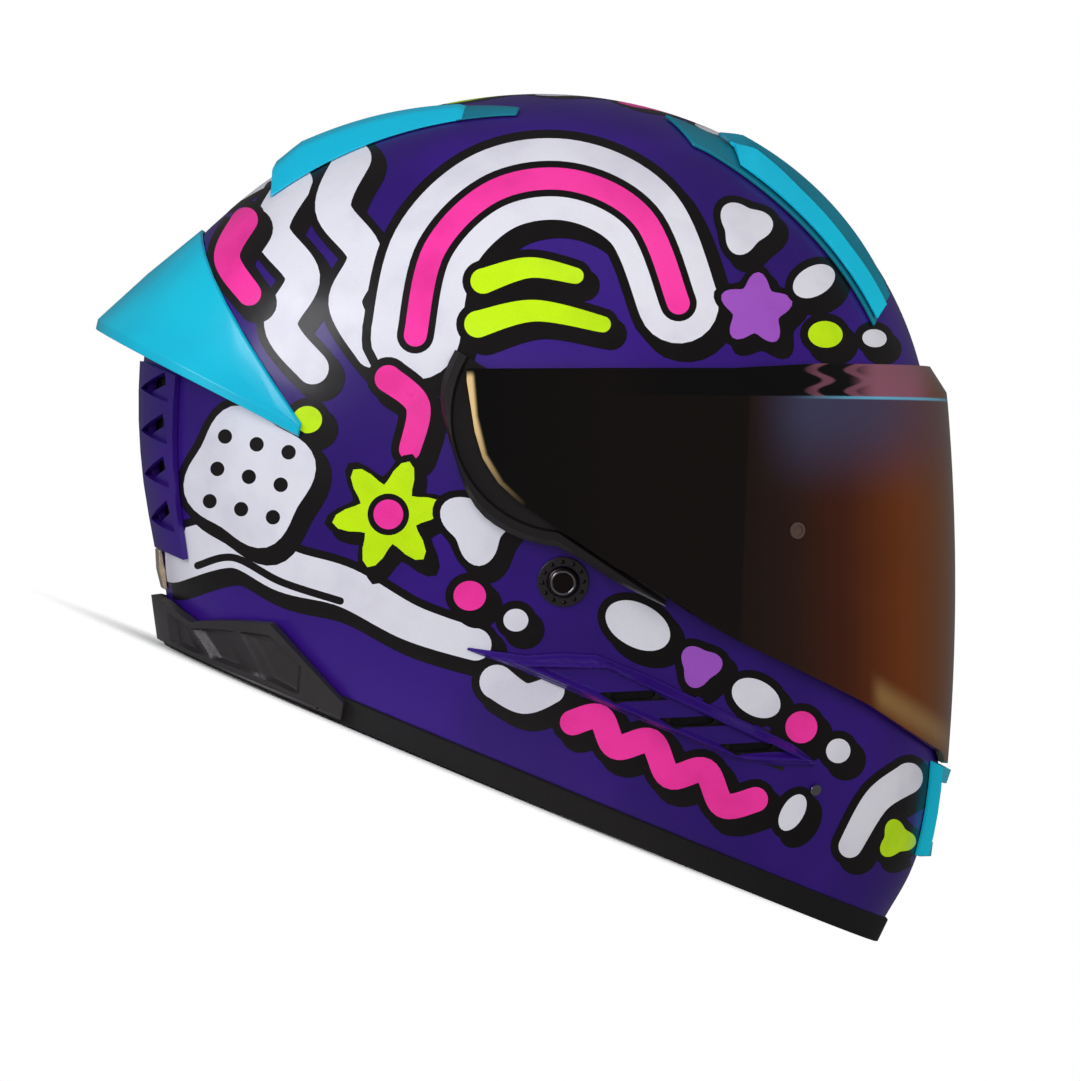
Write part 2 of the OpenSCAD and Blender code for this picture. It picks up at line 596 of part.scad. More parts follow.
chin_vent_low = 36;
chin_vent_high = 71;
function chin_vent_edge(inset) =
    let (low = chin_vent_low + inset, high = chin_vent_high - inset, shrink = inset * 0.35)
    concat([for (f = [-1:0.5:1]) [f * (13 - shrink), high]],
        [for (g = [0.25:0.25:0.75]) [lerp(13, 8, g) - shrink, lerp(high, low, g)]],
        [for (f = [1:-0.5:-1]) [f * (8 - shrink), low]],
        [for (g = [0.75:-0.25:0.25]) [-(lerp(13, 8, g) - shrink), lerp(high, low, g)]]);
module chin_vent_frame() color("#00b4d2") {
    outer = chin_vent_edge(0);
    middle = chin_vent_edge(1.5);
    inner = chin_vent_edge(6.5);
    section_loop([for (i = [len(outer) - 1:-1:0]) [
        skin(outer[i][0], outer[i][1], seat), skin(inner[i][0], inner[i][1], seat),
        skin(inner[i][0], inner[i][1], seat + chin_vent_reach * 0.8),
        skin(middle[i][0], middle[i][1], seat + chin_vent_reach), skin(outer[i][0], outer[i][1], seat + 1)]]);
}
module chin_vent_shutter() color("#161616") {
    skin_panel(steps(-5, 5, 4), function (t) 44.5, function (t) 57, 4,
        function (t, v) seat + 0.5, function (t, v) seat + 1.9);
}
module chin_vent_mesh() color("#303030")
    skin_panel(steps(-6.8, 6.8, 6), function (t) 47.4, function (t) 56.6, 2,
        function (t, v) -2.6, function (t, v) -1.4);

// Side vents

side_vent_upper = [[-5, 44.4], [16, 50], [28, 56], [40, 60.3], [60, 60.6], [80, 59.6],
    [100, 58.6], [120, 57.5], [131, 54.5]];
side_vent_lower = [[-5, 43.6], [16, 44.4], [28, 44.2], [40, 44.2], [60, 44.2], [80, 44.2],
    [100, 44.4], [118, 48], [131, 53.3]];
module side_vent_cover() color("#c9c6e6") difference() {
    side_panel(side_vent_upper, side_vent_lower, 3, seat,
        function (u, v) seat + 0.7 + 3.6 * pow(sin(180 * pow(u, 0.8)), 0.5) * (v > 0 && v < 1 ? 1 : 0.55));
    side_slot_cutters(2.6, 12);
}
module side_vent_mesh() color("#202020")
    for (slot = side_slots)
        surface_slot(side_point(slot[0] - slot_lean[0], slot[1] - slot_lean[1] / 2, -1.7),
            side_point(slot[0] + slot_lean[0], slot[1] + slot_lean[1] / 2, -1.7), 2.4, 0.6);

// Round piece standing along the shell's normal from d0 to d1
module surface_disc(p, radius, d0, d1, faces = 24) {
    away = outward(p);
    translate(p) rotate([0, acos(away[2]), atan2(away[1], away[0])])
        translate([0, 0, d0]) cylinder(r = radius, h = d1 - d0, $fn = faces);
}
module side_vent_screws() color("#e8e8e8") both_sides()
    surface_disc(side_point(134.5, 45), 2.2, seat, seat + 1.2, 16);

// Rear exhausts and reflector

module rear_exhaust_grille() color("#18181c") difference() {
    skin_panel(steps(190, 210, 4), function (t) 34, function (t) 96, 6,
        function (t, v) seat, function (t, v) seat + 2.2);
    for (k = [0:louvre_count - 1]) {
        z = louvre_height(k);
        corners = [skin(192, z - 4), skin(208, z - 5), skin(206, z + 5)];
        away = outward(skin(200, z));
        polyhedron(points = concat([for (p = corners) p - 8 * away], [for (p = corners) p + 8 * away]),
            faces = [[0, 1, 2], [5, 4, 3], [0, 3, 4, 1], [1, 4, 5, 2], [2, 5, 3, 0]]);
    }
}
module rear_reflector() color("#cdbb9a")
    skin_panel(steps(168, 192, 6), function (t) 20, function (t) 33, 2,
        function (t, v) seat, function (t, v) seat + (v > 0 && v < 1 ? 2.2 : 1.4));

// Comfort lining

pad_rows = 9;
function pad_thickness(t, f) =
    let (column = round(t * ring_columns / 360), row = round(f * pad_rows),
        lobe = (column % 8 == 4 && row < 7) || row == 5 ? 0.5 : 1,
        edge = row == 0 ? 0.35 : row == 1 ? 0.85 : 1)
    crown_pad_thickness * min(lobe, edge);
function pad_rim(t) = cavity_rim(t);
module crown_pad() color("#26262b")
    liner_cap(ring_columns, pad_rows,
        function (t, f) let (z = dome_height(pad_rim(t), cavity_widest, cavity_top - inner_seat, f))
            ring_point(cavity_ring(z, inner_seat), t, z),
        function (t, f) let (d = inner_seat + pad_thickness(t, f),
            z = dome_height(pad_rim(t) + (f == 0 ? 1 : 0), cavity_widest, cavity_top - d, f))
            ring_point(cavity_ring(z, d), t, z));

cheek_upper = [[-44, 84], [-38, 96], [-20, 107], [0, 109], [20, 109], [38, 106], [56, 98],
    [74, 92], [90, 80], [98, 66]];
cheek_lower = [[-44, 44], [-36, 30], [-20, 19], [0, 16.5], [20, 16], [38, 16], [56, 17],
    [74, 19], [90, 27], [98, 42]];
cheek_back = -shell_wall - 5.4;
module cheek_pad() {
    function crown(u, v) = pow(max(sin(180 * lerp(0.08, 0.92, u)), 0), 0.45)
        * pow(max(sin(180 * lerp(0.06, 0.94, v)), 0), 0.45);
    n = len(cheek_upper) - 1;
    rows = 8;
    function depth(u, v) =
        cheek_back - 6 - (cheek_pad_depth - 6) * crown(u, v) + (round(v * rows) == 5 ? 3 : 0);
    grid = [for (j = [0:rows]) [for (i = [0:n]) lerp(cheek_lower[i], cheek_upper[i], j / rows)]];
    color("#26262b") grid_solid(
        [for (j = [0:rows]) [for (i = [0:n]) side_point(grid[j][i][0], grid[j][i][1], cheek_back)]],
        [for (j = [0:rows]) [for (i = [0:n])
            side_point(grid[j][i][0], grid[j][i][1], depth(i / n, j / rows))]]);
}
module cheek_pad_snaps() color("#3a3a40") both_sides()
    for (spot = [[-24, 76], [-12, 34], [62, 58]])
        surface_disc(side_point(spot[0], spot[1]), 6, cheek_back + 0.25, -shell_wall - 0.7, 20);

module neck_roll() color("#26262b") {
    span = 46;
    ring_stack([for (s = steps(-span, span, 22))
        let (t = 180 + s,
            size = pow(max(cos(90 * s / (span + 1)), 0), 0.35),
            behind = skin(t, 20, -shell_wall - 14),
            middle = [behind[0], behind[1], 25],
            away = outward(skin(t, 20)),
            inward = -[away[0], away[1], 0] / norm([away[0], away[1]]))
        [for (q = [0:36:324]) middle + (4 + 7 * size) * cos(q) * inward + [0, 0, (4 + 9 * size) * sin(q)]]]);
}

module chin_curtain() {
    span = 46;
    angles = steps(-span, span, 16);
    rows = 3;
    function place(t, f, z) =
        let (edge = skin(t, shell_foot, -shell_wall - inner_seat - 1.5),
            width = 6 + 40 * pow(cos(90 * t / span), 0.7),
            far = [edge[0] - width * cos(t), edge[1] - width * sin(t)])
        [lerp(edge[0], far[0], f), lerp(edge[1], far[1], f), z + 2.5 * sin(180 * f)];
    color("#1c1c20") grid_solid([for (j = [0:rows]) [for (t = angles) place(t, j / rows, 7.2)]],
        [for (j = [0:rows]) [for (t = angles) place(t, j / rows, 5.4)]]);
}
module breath_guard() color("#16161a")
    skin_panel(steps(-19, 19, 10), function (t) 84.3, function (t) 104 - 0.4 * abs(t), 3,
        function (t, v) -9.4 - 3 * v, function (t, v) -7.6 - 3 * v);

// Chin strap

anchor = [18, 80.5];
rivet_head_radius = 5.75;
washer_radius = 9.5;
shank_radius = 3;
plate_gap = 1.1;
plate_wall = 1.2;
plate_back = -shell_wall - plate_gap;
module strap_rivets() color("#b8b8bd") both_sides() {
    p = side_point(anchor[0], anchor[1]);
    surface_disc(p, rivet_head_radius, seat, 2.4, 32);
    surface_disc(p, shank_radius, plate_back - plate_wall - 0.6, seat + 0.5, 24);
}
module strap_rivet_washers() color("#1a1a1e") both_sides() difference() {
    p = side_point(anchor[0], anchor[1]);
    surface_disc(p, washer_radius, seat, 1.6, 40);
    surface_disc(p, rivet_head_radius + 0.2, -2, 4, 32);
}
module strap_anchor_plates() color("#8c8c92") both_sides() difference() {
    p = side_point(anchor[0], anchor[1]);
    away = outward(p);
    translate(p) rotate([0, acos(away[2]), atan2(away[1], away[0])])
        translate([-9, -10, plate_back - plate_wall]) cube([20, 20, plate_wall]);
    surface_disc(p, shank_radius + 0.1, -20, 5, 24);
}

strap_z = 20;
function strap_path() =
    let (d = plate_back - plate_wall - 0.6 - strap_thickness / 2)
    let (side = side_point(anchor[0], 28, d)[1])
    concat([for (z = [72, 60, 48, 38, 28]) let (p = side_point(anchor[0], z, d)) [p[1], p[2]]],
        [for (bend = [[1.0, 20], [7.0, 13.5], [16.0, 10.5], [30.0, 12], [44.0, 17]])
            [side + bend[0], bend[1]]],
        [[-40, strap_z], [-24, strap_z]]);
module ribbon(path) {
    n = len(path) - 1;
    ring_stack([for (i = [0:n])
        let (a = path[max(i - 1, 0)], b = path[min(i + 1, n)],
            along = (b - a) / norm(b - a),
            across = [0, along[1], -along[0]] * strap_thickness / 2,
            middle = [anchor[0], path[i][0], path[i][1]],
            side = [strap_width / 2, 0, 0])
        [middle + side - across, middle + side + across, middle - side + across, middle - side - across]]);
}
module chin_strap_right() color("#1d1d20") ribbon(strap_path());
module chin_strap_left() color("#1d1d20") mirror([0, 1, 0])
    ribbon([for (p = strap_path()) p[0] == -24 ? [-46.2, strap_z] : p[0] == -40 ? [-48, strap_z] : p]);

buckle_half = 15;
buckle_low = strap_z - 4;
buckle_wall = 2;
wall_top = strap_z + 9;
pin_y = 11;
pin_z = strap_z + 6.5;
pin_radius = 1.5;
module along_x(y, z, radius, half) translate([anchor[0] - half, y, z]) rotate([0, 90, 0])
    cylinder(r = radius, h = 2 * half, $fn = 32);
module buckle_body() color("#b0b0b6") difference() {
    translate([anchor[0] - buckle_half, -24 + 0.2, buckle_low])
        cube([2 * buckle_half, 40, wall_top - buckle_low]);
    translate([anchor[0] - buckle_half + buckle_wall, -15, buckle_low + buckle_wall])
        cube([2 * (buckle_half - buckle_wall), 60, 30]);
    translate([anchor[0] - 40, -40, strap_z + 3]) cube([80, 30, 20]);
    along_x(pin_y, pin_z, pin_radius, 40);
}
module buckle_lever_pin() color("#85858c") along_x(pin_y, pin_z, pin_radius, buckle_half - 0.2);
lever_half = buckle_half - buckle_wall - 0.4;
module buckle_lever() color("#c8102e") difference() {
    union() {
        along_x(pin_y, pin_z, 2.6, lever_half);
        translate([anchor[0] - lever_half, -15, pin_z - 0.6]) cube([2 * lever_half, 26, 2]);
        translate([anchor[0] - lever_half + 4, -1.5, pin_z - 3]) cube([2 * lever_half - 8, 2.5, 3]);
        translate([anchor[0] - 7, -27, pin_z - 0.6]) cube([14, 13, 2]);
    }
    along_x(pin_y, pin_z, pin_radius + 0.05, 40);
}
module ratchet_tongue() color("#2c2c30") {
    half = strap_width / 2 - 1.2;
    low = buckle_low + buckle_wall + 0.3;
    translate([anchor[0], 0, 0]) rotate([90, 0, 90]) translate([0, 0, -half])
        linear_extrude(height = 2 * half)
        polygon(concat([[-13, low], [46, low], [46, low + 4.6], [32, low + 4.6], [30, low + 2.6]],
            [for (k = [0:6])
                for (c = [[27 - 5 * k, low + 2.6], [27 - 5 * k, low + 3.3], [24 - 5 * k, low + 2.2]]) c],
            [[-13, low + 2.2]]));
}

outer_shell();
impact_liner();
chin_bar_liner();
rim_trim();
rear_diffuser();
eye_port_gasket();
visor();
anti_fog_insert();
insert_pins();
visor_pivot_ring();  // visor_pivot_ring_right
mirror([0, 1, 0]) visor_pivot_ring();  // visor_pivot_ring_left
visor_base_plate();  // visor_base_plate_right
mirror([0, 1, 0]) visor_base_plate();  // visor_base_plate_left
base_plate_screws();
rear_spoiler();
rear_top_vent();  // rear_top_vent_right
mirror([0, 1, 0]) rear_top_vent();  // rear_top_vent_left
front_vent_base();  // front_vent_base_right
mirror([0, 1, 0]) front_vent_base();  // front_vent_base_left
front_vent_slider();  // front_vent_slider_right
mirror([0, 1, 0]) front_vent_slider();  // front_vent_slider_left
chin_vent_frame();
chin_vent_shutter();
chin_vent_mesh();
side_vent_cover();  // side_vent_cover_right
mirror([0, 1, 0]) side_vent_cover();  // side_vent_cover_left
side_vent_mesh();  // side_vent_mesh_right
mirror([0, 1, 0]) side_vent_mesh();  // side_vent_mesh_left
side_vent_screws();
rear_exhaust_grille();  // rear_exhaust_grille_right
mirror([0, 1, 0]) rear_exhaust_grille();  // rear_exhaust_grille_left
rear_reflector();
crown_pad();
cheek_pad();  // cheek_pad_right
mirror([0, 1, 0]) cheek_pad();  // cheek_pad_left
cheek_pad_snaps();
neck_roll();
chin_curtain();
breath_guard();
strap_rivets();
strap_rivet_washers();
strap_anchor_plates();
chin_strap_right();
chin_strap_left();
buckle_body();
buckle_lever();
buckle_lever_pin();
ratchet_tongue();
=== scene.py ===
"""Full face motorcycle helmet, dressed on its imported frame.

Lengths are in millimetres until a piece is made, and in metres from then on.
The worn frame has its origin at the visor's pivot: a forward, b up.
"""
import logging
import math
from dataclasses import dataclass, field
from enum import Enum
from functools import cached_property
from typing import Callable, Iterable, Optional, Sequence, Union

import bmesh
import bpy
from mathutils import Matrix, Vector
from mathutils.bvhtree import BVHTree
from mathutils.geometry import delaunay_2d_cdt, intersect_point_line


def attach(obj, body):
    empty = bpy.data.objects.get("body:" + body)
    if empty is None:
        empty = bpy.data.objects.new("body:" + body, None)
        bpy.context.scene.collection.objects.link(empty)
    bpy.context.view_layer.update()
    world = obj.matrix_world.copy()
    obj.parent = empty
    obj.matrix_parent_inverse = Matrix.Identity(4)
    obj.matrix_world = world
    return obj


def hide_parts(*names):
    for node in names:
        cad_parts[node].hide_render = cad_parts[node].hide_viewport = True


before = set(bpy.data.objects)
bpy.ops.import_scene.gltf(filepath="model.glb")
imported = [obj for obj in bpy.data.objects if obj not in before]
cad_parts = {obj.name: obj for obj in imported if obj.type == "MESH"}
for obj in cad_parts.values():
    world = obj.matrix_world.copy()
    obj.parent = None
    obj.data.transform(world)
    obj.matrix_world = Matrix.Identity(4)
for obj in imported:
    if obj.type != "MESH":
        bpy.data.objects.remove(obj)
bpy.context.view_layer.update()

logging.basicConfig(level=logging.INFO, format="%(message)s")
log = logging.getLogger("helmet")

MM = 0.001
PITCH = math.radians(22.7)
PIVOT = (-4.0, 137.0)
SIDES = ("right", "left")
# Points closer than this are one point
SAME_POINT = 0.002
HALVINGS = 20
# Faces that meet at less than this angle are one face
FLAT = math.radians(0.6)
Colour = tuple[float, float, float]
Spot = tuple[float, float]


class Body(Enum):
    """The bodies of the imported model."""

    HELMET = "helmet"
    VISOR = "visor_unit"
    RIGHT_SLIDER = "right_vent_slider"
    LEFT_SLIDER = "left_vent_slider"
    SHUTTER = "chin_shutter"
    LEVER = "strap_release"


def rgb(red: int, green: int, blue: int) -> Colour:
    """Turn a colour as a screen shows it into linear light."""
    shares = (red / 255, green / 255, blue / 255)
    return tuple(c / 12.92 if c <= 0.04045 else ((c + 0.055) / 1.055) ** 2.4 for c in shares)


def lerp(a: float, b: float, f: float) -> float:
    """Go the share f of the way from a to b."""
    return a + (b - a) * f


def smooth(f: float) -> float:
    """Ease from 0 to 1."""
    g = min(max(f, 0.0), 1.0)
    return g * g * (3 - 2 * g)


def sign_power(value: float, power: float) -> float:
    """Raise a number's size to a power and keep its sign."""
    return math.copysign(abs(value) ** power, value)


def last_where(low: float, high: float, holds: Callable[[float], bool]) -> float:
    """Find where a test that holds at the low end stops holding."""
    for _ in range(HALVINGS):
        middle = (low + high) / 2
        low, high = (middle, high) if holds(middle) else (low, middle)
    return (low + high) / 2


def facing(place: Vector, away: Vector) -> Matrix:
    """Move the origin to a place and turn z to a direction."""
    return Matrix.Translation(place) @ Vector((0, 0, 1)).rotation_difference(away).to_matrix().to_4x4()


def along(table: Sequence[Spot], at: float) -> float:
    """Read a value off a table of straight stretches."""
    if at <= table[0][0]:
        return table[0][1]
    for (a, low), (b, high) in zip(table, table[1:]):
        if at <= b:
            return lerp(low, high, (at - a) / (b - a))
    return table[-1][1]


# Materials


class Socket:
    """A node's output that adds and multiplies like a number."""

    def __init__(self, shader: "Shader", output: bpy.types.NodeSocket) -> None:
        """Remember the output and the shader it is in."""
        self.shader = shader
        self.output = output

    def _math(self, operation: str, first: "Value", second: "Value" = 0.0) -> "Socket":
        """Add one maths node."""
        return self.shader.node("ShaderNodeMath", [first, second], operation=operation)

    def __add__(self, other: "Value") -> "Socket":
        """Add."""
        return self._math("ADD", self, other)

    __radd__ = __add__

    def __sub__(self, other: "Value") -> "Socket":
        """Subtract."""
        return self._math("SUBTRACT", self, other)

    def __rsub__(self, other: "Value") -> "Socket":
        """Subtract from a number."""
        return self._math("SUBTRACT", other, self)

    def __mul__(self, other: "Value") -> "Socket":
        """Multiply."""
        return self._math("MULTIPLY", self, other)

    __rmul__ = __mul__

    def __truediv__(self, other: "Value") -> "Socket":
        """Divide."""
        return self._math("DIVIDE", self, other)

    def __rtruediv__(self, other: "Value") -> "Socket":
        """Divide a number by this."""
        return self._math("DIVIDE", other, self)

    def __pow__(self, other: "Value") -> "Socket":
        """Raise to a power."""
        return self._math("POWER", self, other)

    def size(self) -> "Socket":
        """Drop the sign."""
        return self._math("ABSOLUTE", self)

    def wave(self) -> "Socket":
        """Take the sine."""
        return self._math("SINE", self)

    def step(self, low: float, high: float) -> "Socket":
        """Ease from 0 to 1 between two values."""
        inputs = [self, low, high, 0.0, 1.0]
        return self.shader.node("ShaderNodeMapRange", inputs, interpolation_type="SMOOTHSTEP")

    def read(self, table: Sequence[Spot]) -> "Socket":
        """Read values between 0 and 1 off a table of straight stretches."""
        low, high = table[0][0], table[-1][0]
        stops = [((at - low) / (high - low), (value, value, value)) for at, value in table]
        return self.shader.ramp((self - low) / (high - low), stops)


Value = Union[Socket, float]
MIX_COLOUR_INPUTS = (0, 6, 7)
MIX_COLOUR_OUTPUT = 2
OBJECT_PLACE = 3
BACKFACING = 6


class Shader:
    """Builds one material's nodes."""

    def __init__(self, name: str) -> None:
        """Start an empty material with a Principled shader."""
        self.material = bpy.data.materials.new(name)
        self.material.use_nodes = True
        self.tree = self.material.node_tree
        self.tree.nodes.clear()
        self.output = self.tree.nodes.new("ShaderNodeOutputMaterial")
        self.skin = self.tree.nodes.new("ShaderNodeBsdfPrincipled")
        self.tree.links.new(self.skin.outputs[0], self.output.inputs["Surface"])

    def join(self, socket: bpy.types.NodeSocket, value: object) -> None:
        """Link an output to an input, or set the input's own value."""
        if isinstance(value, Socket):
            self.tree.links.new(value.output, socket)
        elif isinstance(value, tuple) and len(value) == 3 and socket.type == "RGBA":
            socket.default_value = (*value, 1.0)
        else:
            socket.default_value = value

    def node(self, kind: str, inputs: object = (), output: int = 0, **settings: object) -> Socket:
        """Add a node.

        Args:
            kind: the node's type.
            inputs: values by place, or a dictionary of values by place or name.
            output: which output to hand back.
            settings: the node's own settings, which are set first.

        Returns:
            The chosen output.
        """
        made = self.tree.nodes.new(kind)
        for name, value in settings.items():
            setattr(made, name, value)
        pairs = inputs.items() if isinstance(inputs, dict) else enumerate(inputs)
        for key, value in pairs:
            self.join(made.inputs[key], value)
        return Socket(self, made.outputs[output])

    def place(self) -> Socket:
        """Read the place on the piece, in metres."""
        return self.node("ShaderNodeTexCoord", output=OBJECT_PLACE)

    def axes(self) -> tuple[Socket, Socket, Socket]:
        """Read the place on the piece as three numbers."""
        split = self.node("ShaderNodeSeparateXYZ", [self.place()]).output.node
        return tuple(Socket(self, split.outputs[k]) for k in range(3))

    def worn(self) -> tuple[Socket, Socket]:
        """Read the place in the worn frame, in millimetres."""
        x, _, z = self.axes()
        forward = x / MM - PIVOT[0]
        up = z / MM - PIVOT[1]
        c, s = math.cos(PITCH), math.sin(PITCH)
        return forward * c + up * s, up * c - forward * s

    def mix(self, share: Value, first: object, second: object) -> Socket:
        """Blend two colours."""
        inputs = dict(zip(MIX_COLOUR_INPUTS, (share, first, second)))
        return self.node("ShaderNodeMix", inputs, MIX_COLOUR_OUTPUT, data_type="RGBA")

    def noise(self, size_mm: float, detail: float = 2.0, rough: float = 0.5) -> Socket:
        """Read soft noise whose lumps are about this wide."""
        inputs = {"Vector": self.place(), "Scale": 1 / (size_mm * MM), "Detail": detail, "Roughness": rough}
        return self.node("ShaderNodeTexNoise", inputs)

    def cells(self, size_mm: float, feature: str = "F1") -> Socket:
        """Read the distance within cells about this wide."""
        inputs = {"Vector": self.place(), "Scale": 1 / (size_mm * MM)}
        return self.node("ShaderNodeTexVoronoi", inputs, feature=feature)

    def ramp(self, share: Socket, stops: Sequence[tuple[float, Colour]]) -> Socket:
        """Read a colour off a row of stops."""
        made = self.node("ShaderNodeValToRGB", [share])
        elements = made.output.node.color_ramp.elements
        while len(elements) < len(stops):
            elements.new(1.0)
        for element, (at, colour) in zip(elements, stops):
            element.position = at
            element.color = (*colour, 1.0)
        return made

    def bump(self, height: Socket, strength: float, depth_mm: float) -> Socket:
        """Turn a height into a normal."""
        inputs = {"Height": height, "Strength": strength, "Distance": depth_mm * MM}
        return self.node("ShaderNodeBump", inputs)

    def orange_peel(self) -> Socket:
        """Find the normal of a sprayed clear coat."""
        return self.bump(self.noise(3.5, 2), 0.05, 0.2)

    def paint(self, **values: object) -> bpy.types.Material:
        """Set the Principled shader's inputs by name, with _ for a space."""
        for name, value in values.items():
            self.join(self.skin.inputs[name.replace("_", " ")], value)
        return self.material


def shaded(colour: Colour, gain: float, lift: float = 0.0) -> Colour:
    """Make a colour darker or lighter."""
    return tuple(min(c * gain + lift, 1.0) for c in colour)


@dataclass(frozen=True)
class Finish:
    """A surface's look, and the slot of the record that it belongs to."""

    name: str
    slot: str

    def material(self) -> bpy.types.Material:
        """Build the material."""
        raise NotImplementedError


# What paint and ink share
SATIN_GLOSS = 0.35
SATIN_COAT_ROUGHNESS = 0.16


@dataclass(frozen=True)
class Lacquer(Finish):
    """Satin paint: a base coat whose tone drifts, with fine flakes under a clear coat."""

    colour: Colour
    deep: Colour
    roughness: float = 0.34
    coat: float = 0.35

    def material(self) -> bpy.types.Material:
        """Build the material."""
        shader = Shader(self.name)
        tone = shader.mix(shader.noise(70, 2).step(0.35, 0.65), self.colour, self.deep)
        flake = shader.noise(0.5, 1)
        return shader.paint(
            Base_Color=shader.mix(flake * 0.22, tone, shaded(self.colour, 1.7, 0.01)),
            Roughness=flake * 0.08 + (self.roughness - 0.04),
            Specular_IOR_Level=SATIN_GLOSS,
            Coat_Weight=self.coat,
            Coat_Roughness=SATIN_COAT_ROUGHNESS,
            Normal=shader.orange_peel(),
        )


@dataclass(frozen=True)
class Print(Finish):
    """Ink of the graphics, laid a little unevenly under the clear coat."""

    colour: Colour
    shade: Colour
    roughness: float = 0.36
    coat: float = 0.22

    def material(self) -> bpy.types.Material:
        """Build the material."""
        shader = Shader(self.name)
        cloud = shader.noise(38, 3, 0.6)
        specks = shader.noise(0.8, 1).step(0.35, 0.75)
        tone = shader.mix(cloud.step(0.4, 0.7) * 0.7 + specks * 0.15, self.colour, self.shade)
        return shader.paint(
            Base_Color=tone,
            Roughness=specks * 0.06 + (self.roughness - 0.03),
            Specular_IOR_Level=SATIN_GLOSS,
            Coat_Weight=self.coat,
            Coat_Roughness=SATIN_COAT_ROUGHNESS,
            Normal=shader.orange_peel(),
        )


@dataclass(frozen=True)
class Moulded(Finish):
    """Moulded plastic or rubber with a fine grain."""

    colour: Colour
    roughness: float = 0.5
    grain_mm: float = 0.9
    depth: float = 0.3

    def material(self) -> bpy.types.Material:
        """Build the material."""
        shader = Shader(self.name)
        grain = shader.cells(self.grain_mm, "SMOOTH_F1")
        scuff = shader.noise(22, 4, 0.65).step(0.5, 0.8)
        return shader.paint(
            Base_Color=shader.mix(scuff * 0.35, self.colour, shaded(self.colour, 1.6, 0.006)),
            Roughness=scuff * 0.1 + grain * 0.08 + (self.roughness - 0.06),
            Normal=shader.bump(grain, self.depth, 0.12),
        )


@dataclass(frozen=True)
class Knit(Finish):
    """Brushed lining fabric: small loops in rows."""

    colour: Colour
    loop_mm: float = 1.1

    def material(self) -> bpy.types.Material:
        """Build the material."""
        shader = Shader(self.name)
        x, y, z = shader.axes()
        turn = 2 * math.pi / (self.loop_mm * MM)
        rows = (z * turn).wave()
        loops = ((x + y) * (turn * 0.8)).wave() * ((x - y) * (turn * 0.8)).wave()
        weave = rows * 0.5 + loops * 0.5
        fluff = shader.noise(7, 4, 0.7)
        raised = weave.step(-0.8, 0.9) * 0.6 + fluff * 0.3
        return shader.paint(
            Base_Color=shader.mix(raised, shaded(self.colour, 0.45), self.colour),
            Roughness=0.93,
            Sheen_Weight=0.35,
            Sheen_Roughness=0.45,
            Normal=shader.bump(weave + fluff, 0.55, 0.35),
        )


@dataclass(frozen=True)
class Webbing(Finish):
    """Woven strap with ribs across it."""

    colour: Colour
    rib_mm: float = 1.3

    def material(self) -> bpy.types.Material:
        """Build the material."""
        shader = Shader(self.name)
        x, y, z = shader.axes()
        turn = 2 * math.pi / (self.rib_mm * MM)
        ribs = (x * turn).wave() * 0.6 + ((y + z) * turn).wave() * 0.4
        return shader.paint(
            Base_Color=shader.mix(ribs.step(-0.9, 0.9), shaded(self.colour, 0.5), self.colour),
            Roughness=0.8,
            Sheen_Weight=0.2,
            Normal=shader.bump(ribs, 0.6, 0.3),
        )


@dataclass(frozen=True)
class Foam(Finish):
    """Expanded foam: packed beads."""

    colour: Colour
    bead_mm: float = 3.2

    def material(self) -> bpy.types.Material:
        """Build the material."""
        shader = Shader(self.name)
        bead = shader.cells(self.bead_mm)
        seam = bead.step(0.35, 0.75)
        return shader.paint(
            Base_Color=shader.mix(seam, self.colour, shaded(self.colour, 0.5)),
            Roughness=0.85,
            Normal=shader.bump(1.0 - bead, 0.4, 0.4),
        )


@dataclass(frozen=True)
class Steel(Finish):
    """Steel brushed along one axis."""

    colour: Colour
    roughness: float = 0.3
    # Lines to a metre along the brushing and across it
    lines: tuple[float, float, float] = (120.0, 2500.0, 2500.0)

    def material(self) -> bpy.types.Material:
        """Build the material."""
        shader = Shader(self.name)
        stretched = shader.node("ShaderNodeVectorMath", [shader.place(), self.lines], operation="MULTIPLY")
        brush = shader.node("ShaderNodeTexNoise", {"Vector": stretched, "Scale": 1.0, "Detail": 3.0})
        return shader.paint(
            Base_Color=shader.mix(brush * 0.4, self.colour, shaded(self.colour, 0.6)),
            Metallic=1.0,
            Roughness=brush * 0.2 + (self.roughness - 0.1),
            Normal=shader.bump(brush, 0.1, 0.05),
        )


